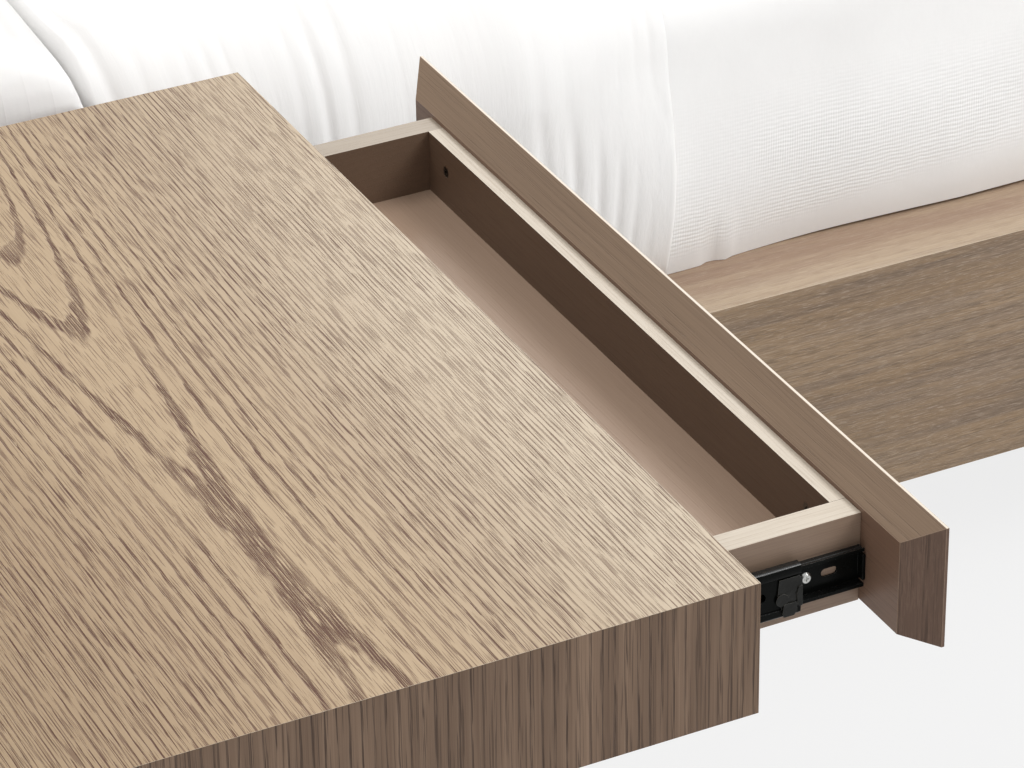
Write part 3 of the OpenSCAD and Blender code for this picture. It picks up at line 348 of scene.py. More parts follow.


# ---- Drawer boxes
# Stained boards, butt-jointed and smooth, with paler upper edges; the floor panel sits in
# grooves in all four. The stain is painted darker everywhere but on the outer side's broad
# faces, which take a lighter copy, and the bed side's upper edges take a darker copy of the
# pale edge: painted shade.

# The stain, darker as painted shade, and a lighter copy of it for the outer side's broad faces.
shaded_stain_tones = (0.185, 0.121, 0.081), (0.148, 0.094, 0.062), (0.105, 0.066, 0.044)
lit_stain_tones = (0.305, 0.218, 0.158), (0.25, 0.172, 0.122), (0.18, 0.12, 0.088)
pale_tones = (0.64, 0.57, 0.475), (0.57, 0.495, 0.40), (0.42, 0.34, 0.26)
# A darker copy of the pale edge for the bed side's upper edges: painted shade.
shaded_edge_tones = (0.44, 0.372, 0.295), (0.38, 0.315, 0.245), (0.27, 0.21, 0.16)
leaf_tones = (0.44, 0.315, 0.23), (0.38, 0.265, 0.19), (0.25, 0.165, 0.12)
stain_look = dict(stroke=(26, 500), stray=(0.62, 0.72, 0.3), relief=0.00005)
edge_look = dict(ring=0.003, stroke=(26, 900), rough=(0.4, 0.5), relief=0.00005)
box_stain_shaded = oak("box_stain_shaded", *shaded_stain_tones, "X", "Z", "Y", pore_share=0.3, rough=(0.5, 0.6),
                **stain_look)
box_stain_lit = oak("box_stain_lit", *lit_stain_tones, "Y", "Z", "X", pore_share=0.35,
                  rough=(0.45, 0.55), **stain_look)
box_edge = oak("box_pale_edge", *pale_tones, "X", "Y", "Z", pore_share=0.5, **edge_look)
box_end_edge = oak("box_pale_end_edge", *pale_tones, "Y", "X", "Z", pore_share=0.4, **edge_look)
box_edge_shaded = oak("box_edge_shaded", *shaded_edge_tones, "Y", "X", "Z", pore_share=0.4, **edge_look)
floor_leaf = oak("box_floor_leaf", *leaf_tones, "X", "Y", "Z", ring=0.006, pore_share=0.25,
                 stroke=(20, 600), stray=(0.62, 0.72, 0.3), rough=(0.4, 0.5), relief=0.00004)
for side in sides:
    for part in ("box_front", "box_back"):
        board(f"{side}_{part}", f"{side}_drawer_{part}", [box_stain_shaded, box_stain_shaded, box_edge],
              ease=0.0004)
    board(f"{side}_box_outer_side", f"{side}_drawer_box_outer_side",
          [box_stain_lit, box_stain_shaded, box_end_edge], ease=0.0004)
    board(f"{side}_box_bed_side", f"{side}_drawer_box_bed_side",
          [box_stain_shaded, box_stain_shaded, box_edge_shaded], ease=0.0004)
    board(f"{side}_drawer_floor", f"{side}_drawer_floor_panel", [floor_leaf] * 3, ease=0)


# ---- Rails
# Thick veneered rails, mitred at the foot, with a broad ledge beside the mattress. The
# outer faces are brushed and greyer than the ledge.

ledge_tones = (0.53, 0.425, 0.32), (0.44, 0.335, 0.24), (0.28, 0.19, 0.13)
face_tones = (0.378, 0.283, 0.196), (0.245, 0.173, 0.118), (0.09, 0.06, 0.04)
rail_arris = oak("rail_arris", (0.74, 0.65, 0.53), (0.66, 0.56, 0.44), (0.45, 0.35, 0.26),
                 "Y", "X", "Z", pore_share=0.3)
brushed = dict(ring=0.011, wander=0.006, jag=0.0012, stroke=(60, 760), cut=(0.36, 0.64),
               band=(0.02, 0.25, 0.5, 0.9), stray=(0.56, 0.72, 0.45), patches=(1.3, 26))
fleck = (0.5, 0.42, (0.47, 0.385, 0.30))
ledge_fleck = (0.52, 0.25, (0.62, 0.52, 0.40))
yellow, ledge_yellow = (0.6, (0.335, 0.225, 0.125)), (0.5, (0.48, 0.365, 0.25))
rail_paints = {
    "Y": [oak("rail_face_long", *face_tones, "Y", "Z", "X", pore_share=0.5, fleck=fleck,
              streak=yellow, pale=(0.22, 0.10, (0.235, 0.172, 0.118), (-2, -1, 0.5, 0.5)),
              **brushed),
          oak("rail_end", *face_tones, "Z", "X", "Y", pore_share=0.6),
          # The ledge is tinted darker and redder towards the mattress, painted shadow under the
          # blanket's hem; the tint follows x, so the right rail's ledge takes it all over.
          oak("ledge_long", *ledge_tones, "Y", "X", "Z", pore_share=0.45, fleck=ledge_fleck,
              streak=ledge_yellow, pale=(-0.845, -0.805, (0.375, 0.262, 0.19), (-2, -1, 1, 1)),
              **brushed),
          rail_arris],
    "X": [oak("foot_rail_end", *face_tones, "Z", "Y", "X", pore_share=0.6),
          oak("foot_rail_face", *face_tones, "X", "Z", "Y", pore_share=0.5, fleck=fleck,
              streak=yellow, **brushed),
          oak("foot_ledge", *ledge_tones, "X", "Y", "Z", pore_share=0.45, fleck=ledge_fleck,
              streak=ledge_yellow, **brushed),
          rail_arris],
}
for node, run in (("left_side_rail", "Y"), ("right_side_rail", "Y"), ("foot_rail", "X")):
    board(node, node + "_board", rail_paints[run], ease=0.0018)


# ---- Headboard
# Three veneered panels side by side, bolted to four uprights behind them. The grain runs
# across the bed.

for node in ("headboard_centre_panel", "headboard_left_wing", "headboard_right_wing"):
    board(node, node + "_board", rail_paints["X"], ease=0.0015)
dark_wood = oak("dark_upright", (0.24, 0.17, 0.125), (0.17, 0.115, 0.082), (0.08, 0.055, 0.04),
                "Z", "X", "Y", pore_share=0.6)
board("headboard_uprights", "headboard_posts", [dark_wood] * 3, ease=0.001)


# ---- Slats, ledger strips, centre beam and legs
# Plain light wood inside the frame and at the nightstands' backs, and dark legs below the
# frame.

light_tones = (0.70, 0.56, 0.39), (0.60, 0.46, 0.31), (0.45, 0.32, 0.20)
light_wood = oak("light_wood_across", *light_tones, "X", "Y", "Z", ring=0.008, pore_share=0.3)
light_wood_long = oak("light_wood_long", *light_tones, "Y", "X", "Z", ring=0.008, pore_share=0.3)
board("slats", "slat_set", [light_wood] * 3, ease=0.0015)
for node in ("slat_ledgers", "centre_beam"):
    board(node, node + "_boards", [light_wood_long] * 3, ease=0.001)
for node in ("foot_legs", "centre_legs"):
    board(node, node + "_posts", [dark_wood] * 3, ease=0.0015)
for side in sides:
    board(f"{side}_case_back", f"{side}_nightstand_back", [light_wood] * 3, ease=0)
    board(f"{side}_slide_packers", f"{side}_slide_packing", [light_wood_long] * 3, ease=0)


# ---- Slides, brackets, screws and glides
# Black-coated steel slides and a moulded stop, dark steel brackets, zinc-plated bolts and
# screws, and moulded glides. The slides' faces that turn up or down and the eased edges of
# slides and stop are painted lighter as painted highlight, and the screws in the open
# drawer's front take a dark plating as painted shade.

def coated(name, colour, metal, rough, grain, depth, specular=None):
    """A coated or plated finish with a fine orange-peel relief and uneven gloss."""
    paint = bpy.data.materials.new(name)
    paint.use_nodes = True
    tree = paint.node_tree
    gloss = tree.nodes["Principled BSDF"]
    place = tree.nodes.new("ShaderNodeTexCoord").outputs["Object"]
    fine = step(tree, "TexNoise", place, None, grain, 3.0, 0.6)
    cloud = step(tree, "TexNoise", place, None, grain / 9, 3.0, 0.6)
    tree.links.new(step(tree, "MixRGB", cloud, colour + (1,),
                        tuple(v * 0.7 for v in colour) + (1,)), gloss.inputs["Base Color"])
    tree.links.new(step(tree, "MapRange", cloud, 0.3, 0.7, rough - 0.08, rough + 0.08),
                   gloss.inputs["Roughness"])
    gloss.inputs["Metallic"].default_value = metal
    if specular is not None:
        gloss.inputs["Specular IOR Level"].default_value = specular
    bump = tree.nodes.new("ShaderNodeBump")
    bump.inputs["Distance"].default_value = depth
    tree.links.new(fine, bump.inputs["Height"])
    tree.links.new(bump.outputs[0], gloss.inputs["Normal"])
    return paint


def paint_nodes(names, paint):
    """The model's own pieces keep their shape and take a finish."""
    for name in names:
        mesh = nodes[name].data
        mesh.materials.clear()
        mesh.materials.append(paint)


# The web's coat keeps a low specular level; the slides' faces that turn up or down take a lighter
# copy of the coat, painted highlight, and the eased edges of slides and stop lighter copies again,
# painted highlight.
black_steel = coated("black_slide_steel", (0.005, 0.0055, 0.005), 0.0, 0.24, 900, 0.00002, 0.045)
track_highlight = coated("black_slide_track_highlight", (0.012, 0.0125, 0.012), 0.0, 0.26, 900, 0.00002)
edge_highlight = coated("black_slide_edge_highlight", (0.055, 0.058, 0.055), 0.0, 0.25, 900, 0.00002)
stop_grey = coated("moulded_stop", (0.007, 0.007, 0.0055), 0.0, 0.2, 260, 0.0004, 0.22)
stop_edge_highlight = coated("moulded_stop_edge_highlight", (0.13, 0.125, 0.105), 0.0, 0.2, 500, 0.00005)
grey_steel = coated("dark_bracket_steel", (0.07, 0.07, 0.072), 0.2, 0.5, 700, 0.00005)
zinc = coated("zinc_plate", (0.62, 0.62, 0.60), 1.0, 0.32, 1500, 0.00002)
# A dark copy of the plating for the screws in the open drawer's front: painted shade.
shaded_zinc = coated("zinc_in_painted_shade", (0.16, 0.14, 0.12), 1.0, 0.4, 1500, 0.00002)
glide_black = coated("moulded_glide", (0.05, 0.05, 0.05), 0.0, 0.5, 500, 0.00005)
open_front_y = 0.40
paint_nodes(["nightstand_brackets", "corner_brackets"], grey_steel)
paint_nodes(["frame_bolts", "slide_screws", "left_drawer_screws", "right_drawer_screws"], zinc)
paint_nodes(["floor_glides"], glide_black)
for side in sides:
    # Screw faces in front of open_front_y take the dark copy of the plating: painted shade.
    mesh = nodes[f"{side}_drawer_screws"].data
    mesh.materials.append(shaded_zinc)
    for face in mesh.polygons:
        face.material_index = int(face.center.y < open_front_y)
    paint_nodes([f"{side}_case_slides"], black_steel)
    for part in ("drawer_slides", "outer_middle_slide", "bed_middle_slide"):
        board(f"{side}_{part}", f"{side}_steel_{part}",
              [black_steel, black_steel, track_highlight, edge_highlight], ease=0.0003, round_faces=True)
    for part in ("outer_slide_stop", "bed_slide_stop"):
        board(f"{side}_{part}", f"{side}_moulded_{part}", [stop_grey] * 3 + [stop_edge_highlight],
              ease=0.0005, round_faces=True)


# ---- Mattress
# Foam mattress with rounded edges and corners and slightly full sides, in a cotton cover. It
# lies on the slats, inside the frame.

half_w, half_l, edge, corner = 0.762, 1.016, 0.036, 0.070
mattress_low, mattress_top, mattress_t = 0.256, 0.546, 0.29
side_fullness, crown_rise = 0.0025, 0.001


def cotton(name, colour, weave, crease, ribs=None, tucks=None, own_measure=True):
    """White cotton on the cloth's own measure in metres, or else on the place on the piece,
    with a fine weave and drawn-out creases. ribs (pitch, height, hem) raise the ribs of a
    waffle weave along the cloth: they come and go in patches, show low on the sides, hardly
    where the cloth is taut, and end at the turned-under hem. tucks (pitch, height, first)
    raise the narrow tucks of a pleated cover, 1 - |sin|^0.4 across; their ridges are painted
    paler as painted highlight, and near the pillows' outer ends, |x| from 0.745 to 0.785 m,
    the cover is painted near white: painted light where shade falls beside the nightstands."""
    paint = bpy.data.materials.new(name)
    paint.use_nodes = True
    tree = paint.node_tree
    gloss = tree.nodes["Principled BSDF"]
    if own_measure:
        measure = tree.nodes.new("ShaderNodeUVMap")
        measure.uv_map = "cloth"
        measure = measure.outputs[0]
    else:
        measure = tree.nodes.new("ShaderNodeTexCoord").outputs["Object"]
    parts = tree.nodes.new("ShaderNodeSeparateXYZ")
    tree.links.new(measure, parts.inputs[0])
    u, v = parts.outputs["X"], parts.outputs["Y"]
    cloud = step(tree, "TexNoise", measure, None, 9.0, 4.0, 0.6)
    tone = step(tree, "MixRGB", step(tree, "MapRange", cloud, 0.3, 0.7, 0.0, 1.0),
                colour + (1,), tuple(c * 0.965 for c in colour) + (1,))
    gloss.inputs["Roughness"].default_value = 0.85
    gloss.inputs["Sheen Weight"].default_value = 0.15
    gloss.inputs["Specular IOR Level"].default_value = 0.2

    def wave(value, pitch, power=1.0):
        """|sin| of a measure over a pitch, raised to a power."""
        turned = calc(tree, "MULTIPLY", value, np.pi / pitch)
        return calc(tree, "POWER", calc(tree, "ABSOLUTE", calc(tree, "SINE", turned)), power)

    def raise_by(height, distance, below=None):
        """A bump on top of the one below."""
        bump = tree.nodes.new("ShaderNodeBump")
        bump.inputs["Distance"].default_value = distance
        tree.links.new(height, bump.inputs["Height"])
        if below:
            tree.links.new(below, bump.inputs["Normal"])
        return bump.outputs[0]

    spot = step(tree, "CombineXYZ", calc(tree, "MULTIPLY", u, crease[0]),
                calc(tree, "MULTIPLY", v, crease[1]), 0.0)
    normal = raise_by(step(tree, "TexNoise", spot, None, 1.0, 5.0, 0.62), crease[2])
    threads = calc(tree, "MULTIPLY", wave(u, weave[0], 0.5), wave(v, weave[0], 0.5))
    nap = step(tree, "TexNoise", measure, None, 700.0, 1.0)
    normal = raise_by(calc(tree, "MULTIPLY_ADD", nap, 1.6, threads), weave[1], normal)
    if ribs:
        pitch, height, hem = ribs
        from_middle = calc(tree, "ABSOLUTE", v)
        stray = calc(tree, "MULTIPLY_ADD", step(tree, "TexNoise", measure, None, 60.0, 2.0),
                     0.003, v)
        patch = step(tree, "MapRange", step(tree, "TexNoise", measure, None, 6.0, 3.0),
                     0.36, 0.60, 0.45, 1.0, interpolation_type="SMOOTHSTEP")
        towards_foot = step(tree, "MapRange", u, -0.15, 0.03, 0.024, 0.0)
        to_hem = calc(tree, "ADD", from_middle, towards_foot)
        on_show = step(tree, "MapRange", to_hem, hem - 0.016, hem, 1.0, 0.0)
        slack = step(tree, "MapRange", from_middle, hem - 0.145, hem - 0.08, 0.04, 1.0)
        patch = calc(tree, "MULTIPLY", calc(tree, "MULTIPLY", patch, on_show), slack)
        rib = calc(tree, "MULTIPLY_ADD", wave(u, 0.6 * pitch), 0.22, wave(stray, pitch, 1.5))
        normal = raise_by(calc(tree, "MULTIPLY", rib, patch), height, normal)
    if tucks:
        pitch, height, first = tucks
        tuck = calc(tree, "SUBTRACT", 1.0,
                    wave(calc(tree, "SUBTRACT", v, first), pitch, 0.4))
        normal = raise_by(tuck, height, normal)
        # Near the pillows' outer ends the cover is painted near white: painted light where shade
        # falls beside the nightstands.
        painted_light_at_ends = step(tree, "MapRange", calc(tree, "ABSOLUTE", u), 0.745, 0.785, 0.0, 0.85)
        tone = step(tree, "MixRGB", painted_light_at_ends, tone, (0.99, 0.985, 0.975, 1))
        # The tuck ridges are painted paler: painted highlight.
        tone = step(tree, "MixRGB", tuck, tone, (0.95, 0.94, 0.93, 1))
    tree.links.new(tone, gloss.inputs["Base Color"])
    tree.links.new(normal, gloss.inputs["Normal"])
    return paint


def grid_quads(rows, columns, around=False):
    """Corner numbers of the squares of a grid of points, in rows of columns."""
    wide = columns if around else columns - 1
    i, j = np.meshgrid(np.arange(rows - 1), np.arange(wide), indexing="ij")
    a, b = i * columns + j, i * columns + (j + 1) % columns
    return np.stack([a, a + columns, b + columns, b], -1).reshape(-1, 4)


def soft_piece(name, points, quads, measure, paint, node):
    """A soft piece from its points and squares, with its measure as a UV map."""
    mesh = bpy.data.meshes.new(name)
    mesh.from_pydata(points.reshape(-1, 3).tolist(), [], quads.tolist())
    corners = np.empty(len(mesh.loops), np.int32)
    mesh.loops.foreach_get("vertex_index", corners)
    mesh.uv_layers.new(name="cloth").data.foreach_set(
        "uv", measure.reshape(-1, 2)[corners].astype(np.float32).ravel())
    mesh.shade_smooth()
    mesh.set_sharp_from_angle(angle=1.1)
    mesh.materials.append(paint)
    piece = bpy.data.objects.new(name, mesh)
    bpy.context.collection.objects.link(piece)
    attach(piece, "bed")
    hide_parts(node)
    return piece


def rect_ring(a, b, r):
    """Points round a rectangle with round corners: a quarter circle at each corner."""
    quarter = np.linspace(0, np.pi / 2, 9)
    points = []
    for k, (sx, sy) in enumerate(((1, 1), (-1, 1), (-1, -1), (1, -1))):
        turn = quarter + k * np.pi / 2
        points.append(np.stack([sx * (a - r) + r * np.cos(turn),
                                sy * (b - r) + r * np.sin(turn)], -1))
    return np.concatenate(points)


# The mattress's section as (inset, height): the bottom, its rounded edge, the full side,
# the upper edge and the crown.
turns = np.linspace(0, np.pi / 2, 7)
profile = [(half_w * 0.98, 0.0), (half_w * 0.5, 0.0)]
profile += [(edge * (1 - np.sin(t)), edge * (1 - np.cos(t))) for t in turns]
profile += [(-side_fullness * np.sin(np.pi * h), edge + h * (mattress_t - 2 * edge))
            for h in (0.1, 0.25, 0.5, 0.75, 0.9)]
profile += [(edge * (1 - np.cos(t)), mattress_t - edge + edge * np.sin(t)) for t in turns]
profile += [(half_w * k, mattress_t + crown_rise * k) for k in (0.15, 0.3, 0.5, 0.75, 0.98)]
rings = []
for inset, height in profile:
    ring = rect_ring(half_w - inset, half_l - inset, max(corner - inset, 0.004))
    rings.append(np.column_stack([ring, np.full(len(ring), mattress_low + height)]))
body = np.array(rings)
quads = grid_quads(len(profile), body.shape[1], around=True)[:, ::-1]
lengths = np.array([p[1] + abs(p[0]) for p in profile])
measure = np.stack(np.broadcast_arrays(np.cumsum(
    np.linalg.norm(np.roll(body[10], -1, 0) - body[10], axis=1))[None, :], lengths[:, None]), -1)
ticking = cotton("mattress_cover", (0.86, 0.85, 0.83), (0.0009, 0.0001), (14, 14, 0.0012))
soft_piece("mattress_body", body, quads, measure, ticking, "mattress")


# ---- Waffle blanket
# Cotton waffle blanket over the mattress, down both sides and the foot to the ledge, with
# its edge turned under. It was cut flat as one rectangle.

core_x, core_y = half_w - corner, half_l - corner
flat_run, bend_run = corner - edge, edge * np.pi / 2
hem_z = 0.3163
drop_run = mattress_top - edge - hem_z
night_front = 0.487


def drape(across, along, off):
    """A cloth's point in space: level at off above the mattress within its corners, round
    its edge on a radius of edge + off, then straight down at off from its side."""
    dx, dy = np.abs(across) - core_x, -along - core_y
    d = np.maximum(np.maximum(dx, dy), 0)
    turn = np.where(dx <= 0, np.pi / 2, np.where(
        dy <= 0, 0, np.pi / 2 * np.maximum(dy, 0) / np.maximum(dx + dy, 1e-9)))
    bend = np.clip((d - flat_run) / bend_run, 0, 1) * np.pi / 2
    out = np.minimum(d, flat_run) + (edge + off) * np.sin(bend)
    z = mattress_top - edge + (edge + off) * np.cos(bend) - np.maximum(d - flat_run - bend_run, 0)
    x = np.sign(across) * (np.minimum(np.abs(across), core_x) + out * np.cos(turn))
    y = np.maximum(along, -core_y) - out * np.sin(turn)
    return np.stack([x, y, z], -1)


def dropped(across, along):
    """How far down the side or foot a point of the cloth hangs, from 0 to 1 at the hem."""
    d = np.maximum(np.abs(across) - core_x, -along - core_y)
    return np.clip((d - flat_run - bend_run) / drop_run, 0, 1)


def sway(u, v, length, seed, stretch=1.0, count=18):
    """Soft random relief between about -1 and 1: a sum of plane waves near one length in
    seeded directions, drawn out along u by stretch."""
    draw = np.random.default_rng(seed)
    total = 0
    angles = draw.uniform(0, np.pi, count)
    phases = draw.uniform(0, 2 * np.pi, count)
    sizes = draw.uniform(0.7, 1.5, count)
    for angle, phase, size in zip(angles, phases, sizes):
        total = total + np.sin(2 * np.pi * size / length
                               * (u * np.cos(angle) / stretch + v * np.sin(angle)) + phase)
    return total / np.sqrt(count)


def ease_in(v):
    """0 up to 0, 1 from 1, smooth between."""
    v = np.clip(v, 0, 1)
    return v * v * (3 - 2 * v)


def cloth_shell(outer, inner):
    """Points and squares of a cloth with a thickness: two grids, joined round the rim."""
    rows, columns = outer.shape[:2]
    count = rows * columns
    number = np.arange(count).reshape(rows, columns)
    rim = np.concatenate([number[0], number[1:, -1], number[-1, -2::-1], number[-2:0:-1, 0]])
    after = np.roll(rim, -1)
    band = np.stack([rim, after, after + count, rim + count], -1)
    top = grid_quads(rows, columns)
    return (np.concatenate([outer.reshape(-1, 3), inner.reshape(-1, 3)]),
            np.concatenate([top, top[:, ::-1] + count, band]))


reach = core_x + flat_run + bend_run + drop_run
reach_y = core_y + flat_run + bend_run + drop_run
blanket_head, blanket_points = 0.435, 223
blanket_lie, blanket_under = 0.0178, 0.0045
crease_y, ridge_y = 0.064, 0.054
xs = np.linspace(-reach, reach, blanket_points)
ys = np.linspace(blanket_head, -reach_y, blanket_points)
across, along = np.meshgrid(xs, ys, indexing="ij")
down = dropped(across, along)

# It lies off the mattress by its own lie, a bulge down the sides and a soft random relief.
# Low on the left side it is drawn in along one line, with a ridge beside that.
bulge = 0.006 * np.sin(np.pi * down ** 1.1)
loose = ease_in(down * 2.2) * (0.0022 * sway(across, along, 0.42, 3)
                               + 0.0006 * sway(across, along, 0.13, 5))
rest_relief = 0.0012 * sway(across, along, 0.28, 7)
low = ease_in((down - 0.72) / 0.26)
pinch = low * (np.exp(-((along - crease_y) / 0.005) ** 2)
               - 0.6 * np.exp(-((along - ridge_y) / 0.006) ** 2))
lie = (blanket_lie + bulge + loose + np.minimum(rest_relief, 0.0015)
       - 0.004 * np.where(across < 0, pinch, 0))
outer = drape(across, along, lie)
inner = drape(across, along, np.full_like(lie, blanket_under))
lift = 0.0022 * ease_in((down - 0.8) / 0.2) * ease_in((0.04 - along) / 0.12)
outer[..., 2] += lift
inner[..., 2] += lift
points, quads = cloth_shell(outer, inner)
measure = np.stack([along, across], -1)
waffle = cotton("waffle_cotton", (0.95, 0.945, 0.935), (0.0009, 0.00001), (9, 9, 0.0009),
                ribs=(0.0036, 0.00026, reach - 0.010))
blanket = soft_piece("waffle_blanket_cloth", points, quads[:, ::-1],
                     np.concatenate([measure.reshape(-1, 2)] * 2), waffle, "waffle_blanket")


# ---- Folded duvet
# A cotton duvet folded into a band across the bed, its folds and creases running across it
# and down both sides.

duvet_head_y, duvet_foot_y = night_front + 0.090, night_front - 0.380
duvet_rest, duvet_loft, fold_pitch, tuck_in = 0.0205, 0.048, 0.018, 0.012
length = duvet_head_y - duvet_foot_y
xs = np.linspace(-reach, reach, 221)
across, t = np.meshgrid(xs, np.linspace(0, length, 211), indexing="ij")
along = duvet_head_y - t
down = dropped(across, along)

# Its loft is full on top, less down the sides, and pressed thin at both ends of the band.
hang = ease_in((np.abs(across) - half_w + edge) / 0.20)
to_foot = ease_in((t - length + 0.15) / 0.15)
on_top = ease_in((0.70 - np.abs(across)) / 0.12)
foot_loft = 0.005 + 0.018 * np.sin(np.pi * down) + 0.012 * on_top
loft = (duvet_loft - 0.028 * hang) * (1 - to_foot) + foot_loft * to_foot
loft = loft - 0.009 * np.exp(-(t / 0.022) ** 2)

# The folds run across the bed, cos(2π · along / pitch), where along is bent by a lean down
# the sides and by a random drift, and their strength comes and goes.
turned = np.clip((np.maximum(np.abs(across) - core_x, 0) - flat_run) / bend_run, 0, 1)
lean = (0.08 + 0.34 * (1 - t / length)) * down * drop_run
drift = 0.013 * sway(across, t, 0.22, 31, stretch=2.5)
turn = 2 * np.pi * (t - lean + drift) / fold_pitch
strength = np.clip(0.45 + 0.9 * sway(across, t, 0.13, 33, stretch=1.6), 0.05, 1.4)
depth = 0.0016 + 0.0010 * ease_in(turned * 1.2) - 0.0013 * ease_in(down * 1.6)
folds = strength * depth * (0.5 + 0.5 * np.cos(turn)) ** 2.2

# Short slanted creases lie between them, each a narrow bell along the bed and a wide one
# across it.
draw = np.random.default_rng(11)
wrinkles = 0
for k in range(90):
    spot, centre = draw.uniform(0, length), draw.uniform(-reach, reach)
    slant, half = draw.uniform(-0.35, 0.35), draw.uniform(0.05, 0.16)
    window = np.exp(-((across - centre) / half) ** 2)
    wrinkles = wrinkles + draw.uniform(0.2, 0.6) * window * np.exp(
        -((t - lean - spot - slant * (across - centre)) / draw.uniform(0.003, 0.006)) ** 2)

# Both ends and the hems are rounded as quarter circles, and the underside draws in there.
rim_t = np.where(t < length / 2, t / 0.006, (length - t) / 0.004)
puff = np.sqrt(1 - (1 - np.clip(rim_t, 0, 1)) ** 2)
hem = np.sqrt(1 - (1 - np.clip((reach - np.abs(across)) / 0.012, 0, 1)) ** 2)
soft = loft + 0.0014 * sway(across, t, 0.12, 21, stretch=2.2)
height = soft * (0.45 + 0.55 * puff) * (0.25 + 0.75 * hem)
height = height - (folds + 0.0016 * wrinkles) * puff * hem * np.clip(soft / 0.014, 0, 1)
height = np.maximum(height, 0.002)
outer = drape(across, along, duvet_rest + height)
tucked = tuck_in * (np.clip(1 - t / 0.05, 0, 1) - np.clip(1 - (length - t) / 0.05, 0, 1))
inner = drape(across, along - tucked, np.full_like(height, duvet_rest))
points, quads = cloth_shell(outer, inner)
measure = np.stack([t, across], -1)
crinkle = cotton("crinkled_cotton", (0.925, 0.918, 0.907), (0.0008, 0.000015), (45, 13, 0.0011))
soft_piece("folded_duvet_band", points, quads[:, ::-1],
           np.concatenate([measure.reshape(-1, 2)] * 2), crinkle, "folded_duvet")


# ---- Pillows
# Two pillows against the headboard, in covers sewn in narrow tucks across, low at their rims.
# Each is blown up by a cloth simulation and held close to its form.

pillow_w, pillow_t, pillow_rise = 0.76, 0.165, 0.036
pillow_front, pillow_back = night_front + 0.0945, 1.024
pillow_d = pillow_back - pillow_front
pillow_end, pillow_end_max = half_w + 0.038, half_w + 0.040
pillow_inner_end = half_w + 0.0382 - pillow_w
rim_h, rim_at_ends, rim_at_front, spare = 0.013, 0.024, 0.005, 0.008
# The cover is a greyer white, lifted to near white near its outer ends and on its tuck ridges:
# painted light and painted highlight.
sham = cotton("pleated_cotton", (0.80, 0.785, 0.77), (0.0008, 0.000015), (9, 9, 0.0012),
              tucks=(0.0185, 0.0003, 0.605), own_measure=False)


def blown_up(piece, voxel, pressure, cap, frames=20):
    """Remeshes a closed soft piece evenly, blows it up as cloth with no weight, and keeps each
    point within cap of where it was: p + d · min(1, cap / |d|). One subdivision follows."""
    bpy.context.view_layer.objects.active = piece
    remesh = piece.modifiers.new("even", "REMESH")
    remesh.mode = "VOXEL"
    remesh.voxel_size = voxel
    remesh.use_smooth_shade = True
    bpy.ops.object.modifier_apply(modifier=remesh.name)
    count = len(piece.data.vertices)
    before = np.empty(count * 3)
    piece.data.vertices.foreach_get("co", before)
    cloth = piece.modifiers.new("blown", "CLOTH")
    cloth.settings.use_pressure = True
    cloth.settings.uniform_pressure_force = pressure
    cloth.settings.effector_weights.gravity = 0
    cloth.settings.quality = 5
    cloth.point_cache.frame_start, cloth.point_cache.frame_end = 1, frames
    for moment in range(1, frames + 1):
        bpy.context.scene.frame_set(moment)
    blown = piece.evaluated_get(bpy.context.evaluated_depsgraph_get()).data
    after = np.empty(count * 3)
    blown.vertices.foreach_get("co", after)
    piece.modifiers.remove(cloth)
    bpy.context.scene.frame_set(1)
    way = (after - before).reshape(-1, 3)
    far = np.linalg.norm(way, axis=1, keepdims=True)
    moved = before.reshape(-1, 3) + way * np.minimum(1, cap / np.maximum(far, 1e-9))
    piece.data.vertices.foreach_set("co", moved.ravel())
    piece.data.update()
    finer = piece.modifiers.new("finer", "SUBSURF")
    finer.levels = finer.render_levels = 1
    bpy.ops.object.modifier_apply(modifier=finer.name)


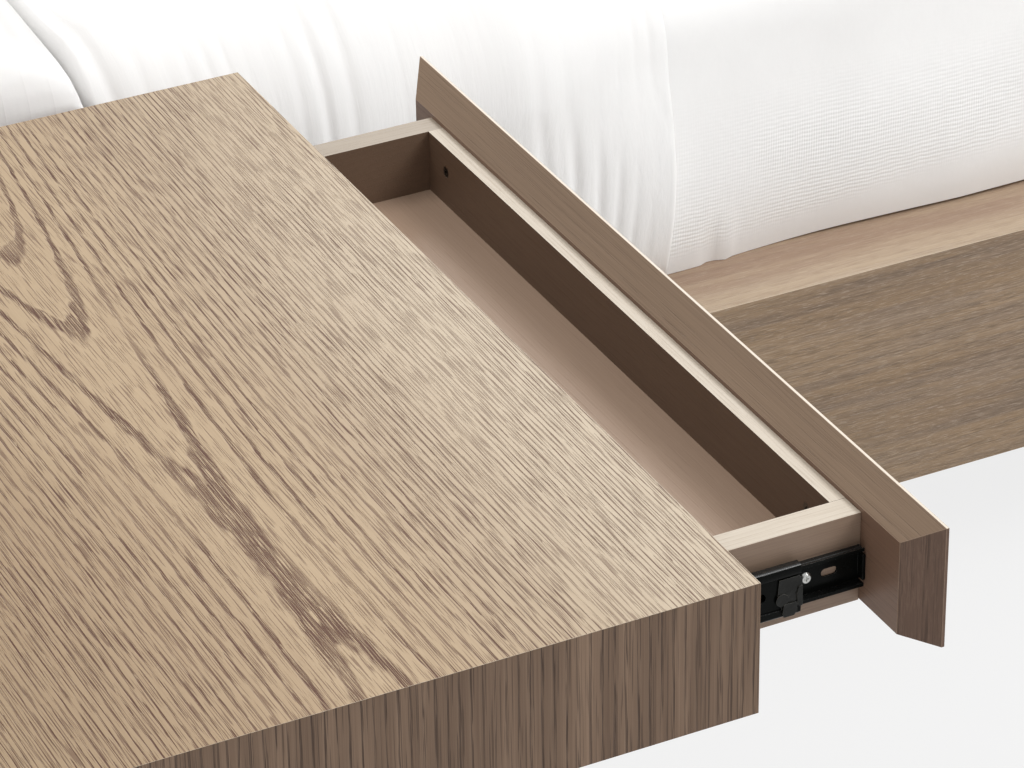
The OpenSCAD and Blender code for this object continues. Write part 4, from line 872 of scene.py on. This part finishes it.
# Above, over u and v from -1 to 1, a low rim that rounds off at its ends and front, plus a
# dome, sqrt((1 - u²) · (1 - v²)). Below, a flat belly with rounded edges.
long_way, short_way = (np.sin(np.linspace(-np.pi / 2, np.pi / 2, count)) for count in (121, 91))
u, v = np.meshgrid(long_way, short_way, indexing="ij")
x = pillow_w / 2 * u * (1 - 0.010 * (1 - v * v))
y = pillow_d / 2 * v * (1 - 0.012 * (1 - u * u))
rim = 1 - (1 - np.clip((1 - np.abs(u)) * pillow_w / 2 / rim_at_ends, 0, 1)) ** 2
rim = rim * np.sqrt(
    1 - (1 - np.clip((1 - np.abs(v)) * pillow_d / 2 / rim_at_front, 0, 1)) ** 2)
dome = ((1 - u * u) * (1 - v * v)) ** 0.5
crown = rim_h * rim + (pillow_t - pillow_rise - rim_h - spare) * dome
belly = (1 - np.abs(u) ** 9) ** 0.42 * (1 - np.abs(v) ** 7) ** 0.42
top = grid_quads(*u.shape)
quads = np.concatenate([top[:, ::-1], top + u.size])[:, ::-1]
measure = np.concatenate([np.stack([x, y], -1).reshape(-1, 2)] * 2)
for side, sign in zip(sides, (-1, 1)):
    middle = np.array([sign * (pillow_end - pillow_w / 2), (pillow_front + pillow_back) / 2,
                       mattress_top + 0.0013 + pillow_rise])
    up = np.stack([x, y, crown], -1) + middle
    low = np.stack([x, y, (0.001 - pillow_rise) * belly], -1) + middle
    points = np.concatenate([up.reshape(-1, 3), low.reshape(-1, 3)])
    piece = soft_piece(f"{side}_pillow_cover", points, quads, measure, sham,
                       f"{side}_pillow")
    shape = bmesh.new()
    shape.from_mesh(piece.data)
    bmesh.ops.remove_doubles(shape, verts=shape.verts, dist=1e-6)
    shape.to_mesh(piece.data)
    shape.free()
    blown_up(piece, voxel=0.006, pressure=3.0, cap=0.0015)
    spots = np.empty(len(piece.data.vertices) * 3)
    piece.data.vertices.foreach_get("co", spots)
    spots = spots.reshape(-1, 3)
    spots[:, 2] = np.maximum(spots[:, 2], mattress_top + 0.0012)
    spots[:, 1] = np.clip(spots[:, 1], pillow_front, pillow_back)
    spots[:, 0] = sign * np.clip(sign * spots[:, 0], pillow_inner_end, pillow_end_max)
    piece.data.vertices.foreach_set("co", spots.ravel())
    piece.data.update()
